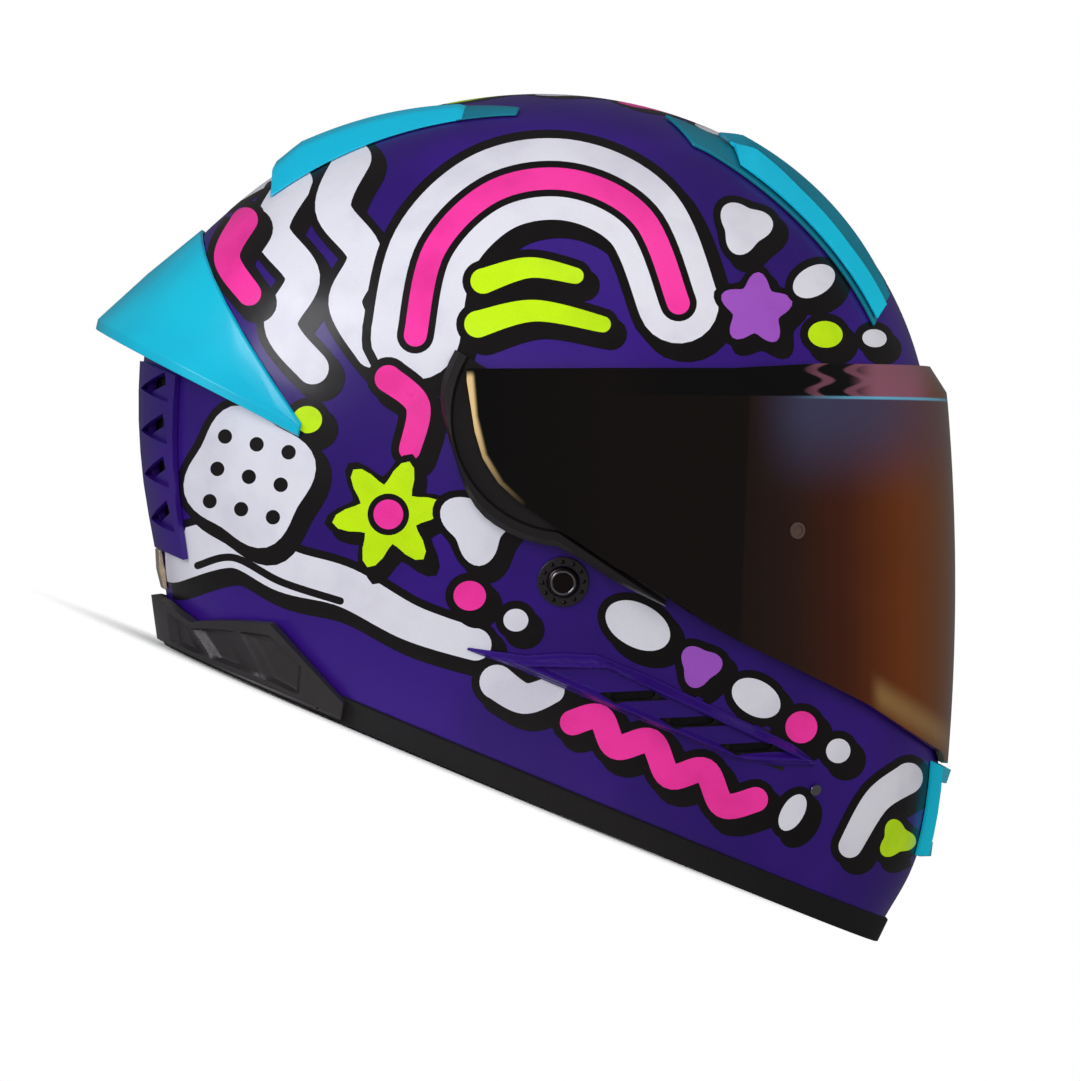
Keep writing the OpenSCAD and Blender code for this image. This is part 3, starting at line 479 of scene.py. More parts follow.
@dataclass(frozen=True)
class ReflectionPaintedVisor(Finish):
    """Tinted mirror visor whose colour is painted reflection, turning from black behind to amber in front.

    Its places are in millimetres of the worn frame, a forward and b up.
    """

    # Distance forward of the pivot and the painted reflection's colour there
    stops: tuple[tuple[float, Colour], ...]
    # Painted reflections and highlights: blue under the line, a thin line along it, the bevel, a glint on
    # the rear edge and on the lift tab's edge; dark is black with nothing reflected, also laid as painted
    # shade
    blue: Colour
    line: Colour
    bevel: Colour
    painted_glint: Colour
    tab: Colour
    dark: Colour
    # The visor's rear edge: height, and how far the edge is forward as a share of its reach
    rear_edge: tuple[Spot, ...] = ((-31.5, 1.0), (-24.0, 0.58), (-14.0, 0.26), (0.0, 0.08), (18.0, 0.0))
    rear_reach: tuple[float, float] = (-37.0, -18.0)
    # Where the insert ends behind, and how that end leans; the face is painted darker rear of it, as shade
    insert_end: Spot = (66.6, 67.6)
    insert_lean: float = 0.043
    # Height of the line under the bevel
    line_at: float = 7.4
    # The lift tab's edge: how steep it is, and where it would cross the axis
    tab_slope: float = 0.62
    tab_level: float = -31.0

    def body(self, shader: Shader, a: Socket, b: Socket) -> Socket:
        """Colour the visor's large face with its painted reflections and painted shade."""
        back, front = self.stops[0][0], self.stops[-1][0]
        share = (a - back) / (front - back) + shader.noise(45, 2) * 0.05 - 0.025
        film = shader.ramp(share, [((at - back) / (front - back), colour) for at, colour in self.stops])
        # Painted reflection: a blue band under the line in front
        under_line = b.step(-34, 4) * a.step(66, 92) * (1.0 - a.step(112, 150) * 0.6)
        film = shader.mix(under_line * 0.75, film, self.blue)
        # Painted shade: darker where the face lies rear of the insert's end
        behind_insert = (a - b * self.insert_lean).step(*self.insert_end)
        return shader.mix(behind_insert, shader.mix(0.55, film, self.dark), film)

    def top(self, shader: Shader, a: Socket, b: Socket, film: Socket) -> Socket:
        """Colour the bevel along the upper edge with painted reflection streaks and a thin painted
        highlight.
        """
        # Painted reflection streaks on the bevel
        painted_streak = ((a * 0.42 + (b * 0.8).wave() * 1.4).wave()).step(0.2, 0.9) * a.step(84, 94)
        bevel = shader.mix(a.step(104, 116), shader.mix(painted_streak * 0.6, self.dark, self.bevel), self.bevel)
        bevel = shader.mix(a.step(128, 142), bevel, self.stops[-1][1])
        over_line = b - self.line_at
        film = shader.mix(over_line.step(0.0, 0.7) * a.step(10, 40), film, bevel)
        # Painted highlight: a thin bright line along the crease under the bevel
        thin = (1.0 - over_line.size().step(0.2, 0.8)) * a.step(80, 118)
        return shader.mix(thin, film, self.line)

    def material(self) -> bpy.types.Material:
        """Build the material."""
        shader = Shader(self.name)
        a, b = shader.worn()
        film = self.top(shader, a, b, self.body(shader, a, b))
        low, high = self.rear_reach
        from_edge = a - (b.read(self.rear_edge) * (high - low) + low)
        # Painted highlight: a gold glint along the visor's rear edge
        glint = (1.0 - from_edge.step(1.2, 3.0)) * b.step(-36, 4) * (1.0 - b.step(14, 17))
        film = shader.mix(glint, film, self.painted_glint)
        # Painted reflection: a tan glint along the lift tab's edge
        tab = (a * self.tab_slope + b - self.tab_level).size().step(0.0, 9.0)
        film = shader.mix((1.0 - tab) * a.step(112, 118), film, self.tab)
        haze = shader.noise(9, 4, 0.7)
        return shader.paint(
            Base_Color=film,
            Metallic=0.2,
            Roughness=haze.step(0.5, 0.8) * 0.05 + 0.12,
            Specular_IOR_Level=SATIN_GLOSS,
            Coat_Weight=0.5,
            Coat_Roughness=0.04,
        )


@dataclass(frozen=True)
class ClearPlastic(Finish):
    """Clear insert behind the visor, faintly hazed."""

    colour: Colour

    def material(self) -> bpy.types.Material:
        """Build the material."""
        shader = Shader(self.name)
        haze = shader.noise(14, 4, 0.7)
        return shader.paint(
            Base_Color=shader.mix(haze, self.colour, shaded(self.colour, 0.7)),
            Roughness=haze * 0.1 + 0.08,
            Alpha=haze * 0.1 + 0.35,
        )


@dataclass(frozen=True)
class Prisms(Finish):
    """Reflective sheet: a grid of small prisms."""

    colour: Colour
    prism_mm: float = 2.4

    def material(self) -> bpy.types.Material:
        """Build the material."""
        shader = Shader(self.name)
        prism = shader.cells(self.prism_mm)
        return shader.paint(
            Base_Color=shader.mix(prism, self.colour, shaded(self.colour, 0.7)),
            Roughness=prism * 0.15 + 0.18,
            Metallic=0.3,
            Coat_Weight=0.8,
            Normal=shader.bump(prism, 0.35, 0.3),
        )


class Palette:
    """Makes each finish's material once."""

    def __init__(self) -> None:
        """Start with no material made."""
        self.made: dict[Finish, bpy.types.Material] = {}

    def of(self, finish: Finish) -> bpy.types.Material:
        """Find or make a finish's material."""
        if finish not in self.made:
            self.made[finish] = finish.material()
        return self.made[finish]


PURPLE = Lacquer("purple_lacquer", "shell_purple", rgb(50, 16, 122), rgb(38, 11, 98), 0.34, 0.25)
CYAN = Lacquer("cyan_lacquer", "vent_cyan", rgb(0, 190, 222), rgb(0, 170, 208), 0.36, 0.3)
# Cyan in painted shade, for the crown vents' faces that lie in shade
PAINTED_SHADE_CYAN = Lacquer("cyan_painted_shade", "vent_teal", rgb(8, 124, 146), rgb(4, 104, 126), 0.4, 0.25)
BLACK_PLASTIC = Moulded("black_plastic", "black_plastic", rgb(34, 31, 32))
PLATE_PLASTIC = Moulded("plate_plastic", "black_plastic", rgb(28, 25, 26), 0.42, 0.7)
TRIM_PLASTIC = Moulded("trim_plastic", "black_plastic", rgb(44, 40, 42), 0.44, 0.8)
CAP_PLASTIC = Moulded("cap_plastic", "black_plastic", rgb(84, 66, 60), 0.28, 0.5, 0.1)
RUBBER = Moulded("black_rubber", "black_rubber", rgb(24, 22, 23), 0.62, 0.6)
MESH_GREY = Moulded("dark_mesh", "mesh_grey", rgb(22, 21, 24), 0.6, 1.6, 0.9)
FOAM = Foam("liner_foam", "liner_foam", rgb(62, 62, 66))
FABRIC = Knit("pad_fabric", "pad_fabric", rgb(80, 78, 88))
STRAP = Webbing("strap_webbing", "webbing", rgb(52, 52, 56))
STEEL = Steel("brushed_steel", "steel", rgb(190, 190, 196))
GUNMETAL = Steel("dark_steel", "steel", rgb(74, 64, 62), 0.35)
RED = Moulded("lever_red", "lever_red", rgb(196, 24, 34), 0.35, 1.2, 0.1)
REFLECTOR = Prisms("reflector", "reflector", rgb(206, 186, 156))
INSERT = ClearPlastic("clear_insert", "clear_insert", rgb(120, 116, 122))
# The visor's colours are painted reflections, highlights and shade
VISOR_PAINTED_REFLECTIONS = ReflectionPaintedVisor(
    "visor_painted_reflections",
    "visor_tint",
    stops=(
        (-37.0, rgb(7, 5, 5)),
        (20.0, rgb(22, 15, 10)),
        (62.0, rgb(26, 17, 12)),
        (84.0, rgb(44, 24, 17)),
        (104.0, rgb(70, 30, 14)),
        (126.0, rgb(114, 54, 6)),
        (150.0, rgb(112, 62, 4)),
    ),
    blue=rgb(66, 70, 104),
    line=rgb(110, 190, 224),
    bevel=rgb(150, 92, 112),
    painted_glint=rgb(250, 214, 150),
    tab=rgb(150, 112, 66),
    dark=rgb(6, 4, 4),
)
PALETTE = Palette()


# Making pieces


class Bench:
    """Makes pieces from operators' meshes and from copies of CAD nodes."""

    @staticmethod
    def piece(name: str, bm: bmesh.types.BMesh) -> bpy.types.Object:
        """Scale a mesh to metres and put it in the scene."""
        bmesh.ops.scale(bm, vec=(MM, MM, MM), verts=bm.verts)
        mesh = bpy.data.meshes.new(name)
        bm.to_mesh(mesh)
        bm.free()
        made = bpy.data.objects.new(name, mesh)
        bpy.context.scene.collection.objects.link(made)
        return made

    @staticmethod
    def panel(columns: int, rows: int, at: Callable[[float, float], Vector]) -> bmesh.types.BMesh:
        """Lay a grid of faces over a surface.

        Args:
            columns: faces along the first share.
            rows: faces along the second share.
            at: the point, in millimetres, for two shares from 0 to 1.

        Returns:
            The grid, its doubles merged and its faces turned the way they were laid.
        """
        bm = bmesh.new()
        bmesh.ops.create_grid(bm, x_segments=columns, y_segments=rows, size=0.5)
        for vert in bm.verts:
            vert.co = at(vert.co.x + 0.5, vert.co.y + 0.5)
        bm.faces.ensure_lookup_table()
        bm.normal_update()
        sample = bm.faces[len(bm.faces) // 2]
        laid = sample.normal.copy()
        bmesh.ops.remove_doubles(bm, verts=bm.verts, dist=SAME_POINT)
        bmesh.ops.recalc_face_normals(bm, faces=bm.faces)
        if sample.normal.dot(laid) < 0:
            bmesh.ops.reverse_faces(bm, faces=bm.faces)
        return bm

    @staticmethod
    def slab(
        columns: int,
        rows: int,
        top: Callable[[float, float], Vector],
        bottom: Callable[[float, float], Vector],
    ) -> bmesh.types.BMesh:
        """Close the space between two grids.

        Args:
            columns: faces along the first share.
            rows: faces along the second share.
            top: the outer face's points.
            bottom: the inner face's points.

        Returns:
            The closed solid.
        """
        under = Bench.panel(columns, rows, bottom)
        bmesh.ops.reverse_faces(under, faces=under.faces)
        bm = Bench.joined([Bench.panel(columns, rows, top), under])
        bmesh.ops.bridge_loops(bm, edges=[e for e in bm.edges if e.is_boundary])
        return bm

    @staticmethod
    def prism(corners: Iterable[Vector], depth: Vector) -> bmesh.types.BMesh:
        """Draw a flat outline out into a solid."""
        bm = bmesh.new()
        face = bm.faces.new([bm.verts.new(corner) for corner in corners])
        grown = bmesh.ops.extrude_face_region(bm, geom=[face])
        moved = [e for e in grown["geom"] if isinstance(e, bmesh.types.BMVert)]
        bmesh.ops.translate(bm, vec=depth, verts=moved)
        bmesh.ops.recalc_face_normals(bm, faces=bm.faces)
        return bm

    @staticmethod
    def cut(made: bpy.types.Object, cutter: bpy.types.Object) -> None:
        """Take one piece out of another and throw it away."""
        boolean = made.modifiers.new("openings", "BOOLEAN")
        boolean.operation = "DIFFERENCE"
        boolean.solver = "EXACT"
        boolean.object = cutter
        Bench.settle(made)
        bpy.data.objects.remove(cutter)

    @staticmethod
    def mirrored(bm: bmesh.types.BMesh) -> bmesh.types.BMesh:
        """Copy a mesh to the helmet's other side."""
        other = bm.copy()
        bmesh.ops.scale(other, vec=(1, -1, 1), verts=other.verts)
        bmesh.ops.reverse_faces(other, faces=other.faces)
        return other

    @staticmethod
    def joined(parts: Iterable[bmesh.types.BMesh]) -> bmesh.types.BMesh:
        """Put several meshes in one."""
        whole = bmesh.new()
        for part in parts:
            loose = bpy.data.meshes.new("part")
            part.to_mesh(loose)
            part.free()
            whole.from_mesh(loose)
            bpy.data.meshes.remove(loose)
        return whole

    @staticmethod
    def both_sides(bm: bmesh.types.BMesh) -> bmesh.types.BMesh:
        """Join a mesh and its mirror image."""
        return Bench.joined([Bench.mirrored(bm), bm])

    @staticmethod
    def settle(made: bpy.types.Object) -> bpy.types.Object:
        """Apply a piece's modifiers."""
        graph = bpy.context.evaluated_depsgraph_get()
        mesh = bpy.data.meshes.new_from_object(made.evaluated_get(graph))
        made.modifiers.clear()
        old = made.data
        made.data = mesh
        bpy.data.meshes.remove(old)
        return made

    @staticmethod
    def walls(made: bpy.types.Object, thickness: float) -> bpy.types.Modifier:
        """Give a sheet its thickness, in millimetres, inwards."""
        solid = made.modifiers.new("walls", "SOLIDIFY")
        solid.thickness = thickness * MM
        solid.offset = -1.0
        solid.use_even_offset = True
        return solid

    @staticmethod
    def rounded(made: bpy.types.Object, width: float, angle: float, segments: int = 2) -> None:
        """Round a piece's sharp edges."""
        bevel = made.modifiers.new("rounded", "BEVEL")
        bevel.width = width * MM
        bevel.segments = segments
        bevel.limit_method = "ANGLE"
        bevel.angle_limit = math.radians(angle)

    @staticmethod
    def shade(made: bpy.types.Object, angle: float) -> None:
        """Shade a piece smooth apart from its sharp edges."""
        made.data.shade_smooth()
        made.data.set_sharp_from_angle(angle=math.radians(angle))

    @staticmethod
    def dress(
        made: bpy.types.Object,
        finish: Finish,
        replaced: Optional[str] = None,
        body: Body = Body.HELMET,
    ) -> None:
        """Give a piece its material and body.

        Args:
            made: the piece.
            finish: what its surface is.
            replaced: the CAD node that it stands for.
            body: what it moves with.
        """
        made.data.materials.clear()
        made.data.materials.append(PALETTE.of(finish))
        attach(made, body.value)
        if replaced:
            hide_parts(replaced)
        log.info("piece %s", made.name)

    @staticmethod
    def with_painted_shade(made: bpy.types.Object, finish: Finish, chosen: Callable[[Vector, Vector], bool]) -> None:
        """Give some of a piece's faces a second, darker finish as painted shade.

        Args:
            made: the piece, dressed.
            finish: the darker finish painted on those faces as shade.
            chosen: tells a face by its middle, in millimetres, and its normal.
        """
        made.data.materials.append(PALETTE.of(finish))
        for face in made.data.polygons:
            face.material_index = int(chosen(face.center / MM, face.normal))

    @staticmethod
    def merged(node: str) -> bmesh.types.BMesh:
        """Copy a CAD node in millimetres and merge its loose faces."""
        bm = bmesh.new()
        bm.from_mesh(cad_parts[node].data)
        bmesh.ops.scale(bm, vec=(1 / MM, 1 / MM, 1 / MM), verts=bm.verts)
        bmesh.ops.remove_doubles(bm, verts=bm.verts, dist=SAME_POINT)
        bmesh.ops.recalc_face_normals(bm, faces=bm.faces)
        return bm

    @staticmethod
    def refined(
        node: str,
        finish: Finish,
        bevel: float = 0.35,
        crease: float = 30.0,
        body: Body = Body.HELMET,
    ) -> None:
        """Copy a CAD node, merge its faces and round its edges.

        Args:
            node: the node that the piece stands for.
            finish: what its surface is.
            bevel: how wide its rounded edges are, in millimetres.
            crease: the least angle of an edge that is rounded, in degrees.
            body: what it moves with.
        """
        bm = Bench.merged(node)
        bmesh.ops.dissolve_limit(bm, angle_limit=FLAT, verts=bm.verts, edges=bm.edges)
        made = Bench.piece(node + "_form", bm)
        Bench.shade(made, crease)
        if bevel:
            Bench.rounded(made, bevel, crease)
            made.modifiers.new("even_shading", "WEIGHTED_NORMAL").keep_sharp = True
        Bench.dress(made, finish, node, body)


# Forms of the shell and the visor


@dataclass(frozen=True)
class ShellForm:
    """The outer shell's surface as a ring at each height."""

    # Each row: height, middle, front reach, rear reach, half width as a share of the widest
    rows: tuple[tuple[float, ...], ...] = (
        (8, -5, 185, 108, 0.758),
        (30, -7, 189.5, 119, 0.812),
        (55, -9, 189, 133, 0.883),
        (80, -10.5, 184, 144, 0.945),
        (105, -12, 174, 151, 0.984),
        (130, -12, 163, 152, 0.996),
        (160, -11, 152.5, 146, 1),
        (200, -7, 147.5, 142, 1),
        (240, -1, 144.5, 140.7, 0.984),
        (260, 2, 143.5, 142, 0.969),
    )
    half_width: float = 125.5
    widest: float = 130.0
    crown: float = 260.0
    foot: float = 4.0
    wall: float = 3.0
    front_power: float = 2.1
    rear_power: float = 2.3
    least_reach: float = 40.0
    probe: float = 0.05
    least_crown: float = 0.0004

    def slope(self, i: int) -> list[float]:
        """Find how fast a row's values change with height."""
        low, high = self.rows[max(i - 1, 0)], self.rows[min(i + 1, len(self.rows) - 1)]
        return [(q - p) / (high[0] - low[0]) for p, q in zip(low, high)]

    def row_at(self, z: float) -> list[float]:
        """Read the table at a height, along smooth curves."""
        i = 0
        while i < len(self.rows) - 2 and z >= self.rows[i + 1][0]:
            i += 1
        low, high = self.rows[i], self.rows[i + 1]
        h = high[0] - low[0]
        f = (z - low[0]) / h
        weights = (
            2 * f**3 - 3 * f**2 + 1,
            (f**3 - 2 * f**2 + f) * h,
            3 * f**2 - 2 * f**3,
            (f**3 - f**2) * h,
        )
        parts = zip(low, self.slope(i), high, self.slope(i + 1))
        return [sum(w * p for w, p in zip(weights, values)) for values in parts]

    def ring(self, z: float) -> tuple[float, float, float, float]:
        """Find the middle, front reach, rear reach and half width at a height."""
        row = self.row_at(z)
        rise = max(z - self.widest, 0.0) / (self.crown - self.widest)
        k = math.sqrt(max(1 - rise * rise, self.least_crown))
        return row[1], row[2] * k, row[3] * k, row[4] * k * self.half_width

    def field(self, p: Vector) -> float:
        """Tell inside from outside: negative inside."""
        middle, front, rear, half = self.ring(p.z)
        ahead = p.x >= middle
        reach, power = (front, self.front_power) if ahead else (rear, self.rear_power)
        return abs((p.x - middle) / reach) ** power + abs(p.y / half) ** power - 1

    def outward(self, p: Vector) -> Vector:
        """Find the direction straight out of the surface."""
        steps = [self.probe * axis for axis in Matrix.Identity(3)]
        return Vector([self.field(p + s) - self.field(p - s) for s in steps]).normalized()

    def skin(self, turn: float, z: float, lift: float = 0.0) -> Vector:
        """Find a point of the surface by its angle in degrees and its height."""
        middle, front, rear, half = self.ring(z)
        c, s = math.cos(math.radians(turn)), math.sin(math.radians(turn))
        reach, power = (front, self.front_power) if c >= 0 else (rear, self.rear_power)
        p = Vector((middle + reach * sign_power(c, 2 / power), half * sign_power(s, 2 / power), z))
        return p + lift * self.outward(p) if lift else p

    def side(self, x: float, z: float, lift: float = 0.0) -> Vector:
        """Find a point of the right side by its place in side view."""
        middle, front, rear, half = self.ring(z)
        reach, power = (front, self.front_power) if x >= middle else (rear, self.rear_power)
        left = max(1 - abs((x - middle) / reach) ** power, 0.0001)
        p = Vector((x, -half * left ** (1 / power), z))
        return p + lift * self.outward(p) if lift else p

    def roof(self, x: float, y: float, lift: float = 0.0) -> Vector:
        """Find a point of the crown by its place in plan."""
        z = last_where(self.widest, self.crown - 0.01, lambda z: self.field(Vector((x, y, z))) < 0)
        p = Vector((x, y, z))
        return p + lift * self.outward(p) if lift else p

    def reach_along(self, psi: float, edge: Callable[[float], float]) -> float:
        """Find how far the surface is from the pivot's axis along an edge line."""

        def inside(r: float) -> bool:
            """Tell whether a point is still inside the shell."""
            a = r * math.cos(psi)
            return self.field(from_worn(a, r * math.sin(psi), edge(a))) < 0

        return last_where(self.least_reach, 2 * self.half_width, inside)

    def reach_on(self, psi: float, b: float) -> float:
        """Find how far the surface is from the pivot's axis at a height b."""
        return self.reach_along(psi, lambda a: b)


def from_worn(a: float, y: float, b: float) -> Vector:
    """Turn a point of the worn frame into the standing one."""
    c, s = math.cos(PITCH), math.sin(PITCH)
    return Vector((PIVOT[0] + a * c - b * s, y, PIVOT[1] + a * s + b * c))


def to_worn(x: float, z: float) -> Spot:
    """Turn a place in side view into the worn frame."""
    c, s = math.cos(PITCH), math.sin(PITCH)
    x, z = x - PIVOT[0], z - PIVOT[1]
    return x * c + z * s, z * c - x * s


# The visor's edges in the worn frame
VISOR_LOW_LINE = (
    (-37, 13), (-35.5, 0), (-32, -14), (-26, -24), (-18, -31.5), (16, -54.5),
    (48, -76), (80, -91), (113, -107), (141, -124), (200, -158),
)
VISOR_HIGH_LINE = ((-37, 17.5), (66, 18), (102, 20), (200, 20.5))


@dataclass(frozen=True)
class VisorForm:
    """The visor's outer surface, column by column from ear to ear."""

    shell: ShellForm
    side_gap: float = 6.0
    front_gap: float = 7.1
    brow_top_gap: float = 8.9
    close_gap: float = 1.4
    fullest_b: float = -62.0
    brow_b: float = 18.0
    wall: float = 2.4
    power: float = 2.1
    ear_flat: float = 20.0
    bevel_drop: float = 10.0
    tab_drop: float = 3.0
    tab_half: float = 26.0
    rear: float = -37.0
    # Degrees from straight ahead where it stops following the shell, and over how many
    follow_end: float = 58.0
    follow_fade: float = 18.0
    ear_clearance: float = 4.4
    edge_clearance: float = 5.0

    @property
    def half_width(self) -> float:
        """Half of the width over the visor's ears."""
        return self.shell.half_width + self.side_gap

    @property
    def front(self) -> float:
        """How far the visor reaches forward at its fullest."""
        return self.shell.reach_on(0, self.fullest_b) + self.front_gap

    @property
    def brow(self) -> float:
        """How far the visor reaches forward at its upper edge."""
        return self.shell.reach_on(0, self.brow_b) + self.brow_top_gap

    def bulge(self, b: float) -> float:
        """Find the reach at a height as a share of the fullest."""
        share = (b - self.fullest_b) / (self.brow_b - self.fullest_b)
        return 1 - (1 - self.brow / self.front) * share**2

    def plain_spot(self, p: float) -> Spot:
        """Find a point of the plain outline in plan."""
        c, s = max(math.cos(p), 0.0), math.sin(p)
        long = (self.front - self.ear_flat) * sign_power(c, 2 / self.power)
        return self.ear_flat + long, self.half_width * sign_power(s, 2 / self.power)

    def ray(self, p: float) -> float:
        """Find the direction of an outline point from the pivot's axis."""
        a, y = self.plain_spot(p)
        return math.atan2(y, a)

    def radius(self, p: float, b: float) -> float:
        """Find how far the outer face is from the pivot's axis."""
        psi = self.ray(p)
        side = math.sin(psi) ** 2
        gap = self.front * self.bulge(b) - self.shell.reach_on(0, b)
        follow = self.shell.reach_on(psi, b) + lerp(gap, self.side_gap, side)
        plain = math.hypot(*self.plain_spot(p)) * lerp(self.bulge(b), 1, side)
        return lerp(follow, plain, smooth((abs(math.degrees(psi)) - self.follow_end) / self.follow_fade))

    def on_ray(self, p: float, b: float, r: float) -> Vector:
        """Find the point on a column's ray."""
        psi = self.ray(p)
        return from_worn(r * math.cos(psi), r * math.sin(psi), b)

    def foot(self, p: float) -> float:
        """Find the lower edge of a column."""
        psi = self.ray(p)
        reach = self.shell.reach_along(psi, lambda a: along(VISOR_LOW_LINE, a))
        return along(VISOR_LOW_LINE, (reach + self.edge_clearance) * math.cos(psi))

    def bevel_foot(self, a: float) -> float:
        """Find where the bevel under the upper edge starts."""
        return along(VISOR_HIGH_LINE, a) - self.bevel_drop * smooth((a + 20) / 60)

    def column(self, p: float) -> tuple[float, float, float]:
        """Find a column's lower edge, bevel foot and upper edge."""
        a, y = self.plain_spot(p)
        drop = self.tab_drop * smooth((self.tab_half - abs(y)) / 4) if a > 0 else 0.0
        return self.foot(p) - drop, self.bevel_foot(a), along(VISOR_HIGH_LINE, a)

    def top_radius(self, p: float, b: float) -> float:
        """Find how far the upper edge is from the pivot's axis."""
        psi = self.ray(p)
        gap = self.close_gap + self.ear_clearance * abs(math.sin(psi)) ** 3
        return min(self.radius(p, b), self.shell.reach_on(psi, b) + gap + self.wall)


SHELL = ShellForm()
VISOR = VisorForm(SHELL)
# Middles of the slots under a side vent cover, in side view
SIDE_SLOTS = ((58, 51.8), (82, 51.5), (106, 51))


# Graphics


def curve(points: Sequence[Spot], steps: int, closed: bool) -> list[Vector]:
    """Run a smooth curve through points.

    Args:
        points: what the curve goes through.
        steps: short pieces in each stretch.
        closed: whether the curve comes back to its first point.

    Returns:
        The curve's points.
    """
    spots = [Vector(p) for p in points]
    count = len(spots)
    stretches = count if closed else count - 1

    def spot(i: int) -> Vector:
        """Find a point, past the ends too."""
        return spots[i % count] if closed else spots[min(max(i, 0), count - 1)]

    made = []
    for i in range(stretches):
        a, b, c, d = (spot(i + k) for k in (-1, 0, 1, 2))
        for k in range(steps):
            f = k / steps
            square = 2 * b + (c - a) * f + (2 * a - 5 * b + 4 * c - d) * f**2
            made.append(0.5 * (square + (3 * b - a - 3 * c + d) * f**3))
    return made if closed else made + [spots[-1]]


def encloses(loop: Sequence[Vector], spot: Vector) -> bool:
    """Tell whether an outline has a point inside it."""
    inside = False
    for k, p in enumerate(loop):
        q = loop[k - 1]
        if (p.y > spot.y) == (q.y > spot.y):
            continue
        if spot.x < (q.x - p.x) * (spot.y - p.y) / (q.y - p.y) + p.x:
            inside = not inside
    return inside


@dataclass(frozen=True)
class Blob:
    """A closed shape with soft lobes."""

    centre: Spot
    radii: tuple[float, ...]
    turn: float = 0.0
    stretch: float = 1.0

    def outline(self, grow: float) -> list[Vector]:
        """Find the outline, grown by a margin."""
        tilt = Matrix.Rotation(math.radians(self.turn), 2)
        steps = max(round(48 / len(self.radii)), 4)
        reaches = [p.x for p in curve([(radius, 0.0) for radius in self.radii], steps, True)]
        spots = []
        for k, reach in enumerate(reaches):
            angle = 2 * math.pi * k / len(reaches)
            wide, high = reach * self.stretch + grow, reach + grow
            spot = Vector((wide * math.cos(angle), high * math.sin(angle)))
            spots.append(Vector(self.centre) + tilt @ spot)
        return spots

    def holds(self, spot: Vector, grow: float) -> bool:
        """Tell whether the grown shape covers a point."""
        return encloses(self.outline(grow), spot)


@dataclass(frozen=True)
class Stroke:
    """A round-ended stroke along a smooth line."""

    line: tuple[Spot, ...]
    width: float
    end_width: Optional[float] = None

    @cached_property
    def spots(self) -> list[Vector]:
        """Run the stroke's middle line."""
        return curve(self.line, 10, False)

    def half(self, share: float) -> float:
        """Find half of the width at a share of the way."""
        return lerp(self.width, self.end_width or self.width, share) / 2

    def outline(self, grow: float) -> list[Vector]:
        """Find the outline, grown by a margin."""
        spots = self.spots
        last = len(spots) - 1
        left, right = [], []
        for i, spot in enumerate(spots):
            run = (spots[min(i + 1, last)] - spots[max(i - 1, 0)]).normalized()
            across = Vector((-run.y, run.x)) * (self.half(i / last) + grow)
            left.append(spot + across)
            right.append(spot - across)
        return left + self.cap(left[-1], right[-1]) + right[::-1] + self.cap(right[0], left[0])

    @staticmethod
    def cap(start: Vector, end: Vector) -> list[Vector]:
        """Go round an end from one side to the other."""
        middle, arm = (start + end) / 2, (start - end) / 2
        turns = [Matrix.Rotation(-math.pi * k / 12, 2) for k in range(1, 12)]
        return [middle + turn @ arm for turn in turns]

    def holds(self, spot: Vector, grow: float) -> bool:
        """Tell whether the grown shape covers a point."""
        last = len(self.spots) - 1
        for i, (start, end) in enumerate(zip(self.spots, self.spots[1:])):
            near, share = intersect_point_line(spot, start, end)
            share = min(max(share, 0.0), 1.0)
            if (start.lerp(end, share) - spot).length < self.half((i + share) / last) + grow:
                return True
        return False


Shape = Union[Blob, Stroke]
NO_SHADOW = (0.0, 0.0)


class Ink(Enum):
    """The graphics' inks."""

    BLACK = "black"
    WHITE = "white"
    VIOLET = "violet"
    PINK = "pink"
    LIME = "lime"


INK_FINISH = {
    Ink.BLACK: Print("ink_black", "shell_purple", rgb(16, 12, 14), rgb(24, 18, 20), 0.42),
    Ink.WHITE: Print("ink_white", "shell_purple", rgb(226, 226, 236), rgb(206, 204, 218)),
    Ink.PINK: Print("ink_pink", "shell_purple", rgb(252, 54, 166), rgb(222, 40, 142)),
    Ink.LIME: Print("ink_lime", "shell_purple", rgb(200, 244, 0), rgb(176, 218, 0)),
    Ink.VIOLET: Print("ink_violet", "shell_purple", rgb(160, 84, 196), rgb(138, 66, 176)),
}


@dataclass(frozen=True)
class Motif:
    """One shape of the graphics with the details drawn on it."""

    shape: Shape
    ink: Ink
    details: tuple[Shape, ...] = ()
    outline: float = 3.0
    shadow: Spot = (3.0, -3.6)


class Layer:
    """One shape as it is laid: grown, moved and inked."""

    def __init__(self, shape: Shape, grow: float, shift: Spot, ink: Ink) -> None:
        """Find the outline and the box round it."""
        self.shape, self.grow, self.shift, self.ink = shape, grow, Vector(shift), ink
        self.outline = [p + self.shift for p in shape.outline(grow)]
        self.low = Vector([min(p[k] for p in self.outline) for k in (0, 1)])
        self.high = Vector([max(p[k] for p in self.outline) for k in (0, 1)])

    def covers(self, spot: Vector) -> bool:
        """Tell whether the layer covers a point of the drawing."""
        if not (self.low.x < spot.x < self.high.x and self.low.y < spot.y < self.high.y):
            return False
        return self.shape.holds(spot - self.shift, self.grow)


@dataclass(frozen=True)
class View:
    """A flat drawing plane and the straight way from it to the shell."""

    origin: Vector
    across: Vector
    up: Vector
    keep: Callable[[Vector], bool]
    least_facing: float = 0.12

    @property
    def away(self) -> Vector:
        """Find the direction from the shell to the plane."""
        return self.across.cross(self.up)

    def onto(self, shell: BVHTree, spot: Vector) -> Optional[Vector]:
        """Find the shell's point behind a point of the drawing."""
        start = self.origin + self.across * spot.x + self.up * spot.y
        place, normal, _, _ = shell.ray_cast(start, -self.away)
        if place is None or normal.dot(self.away) <= self.least_facing or not self.keep(place):
            return None
        return place


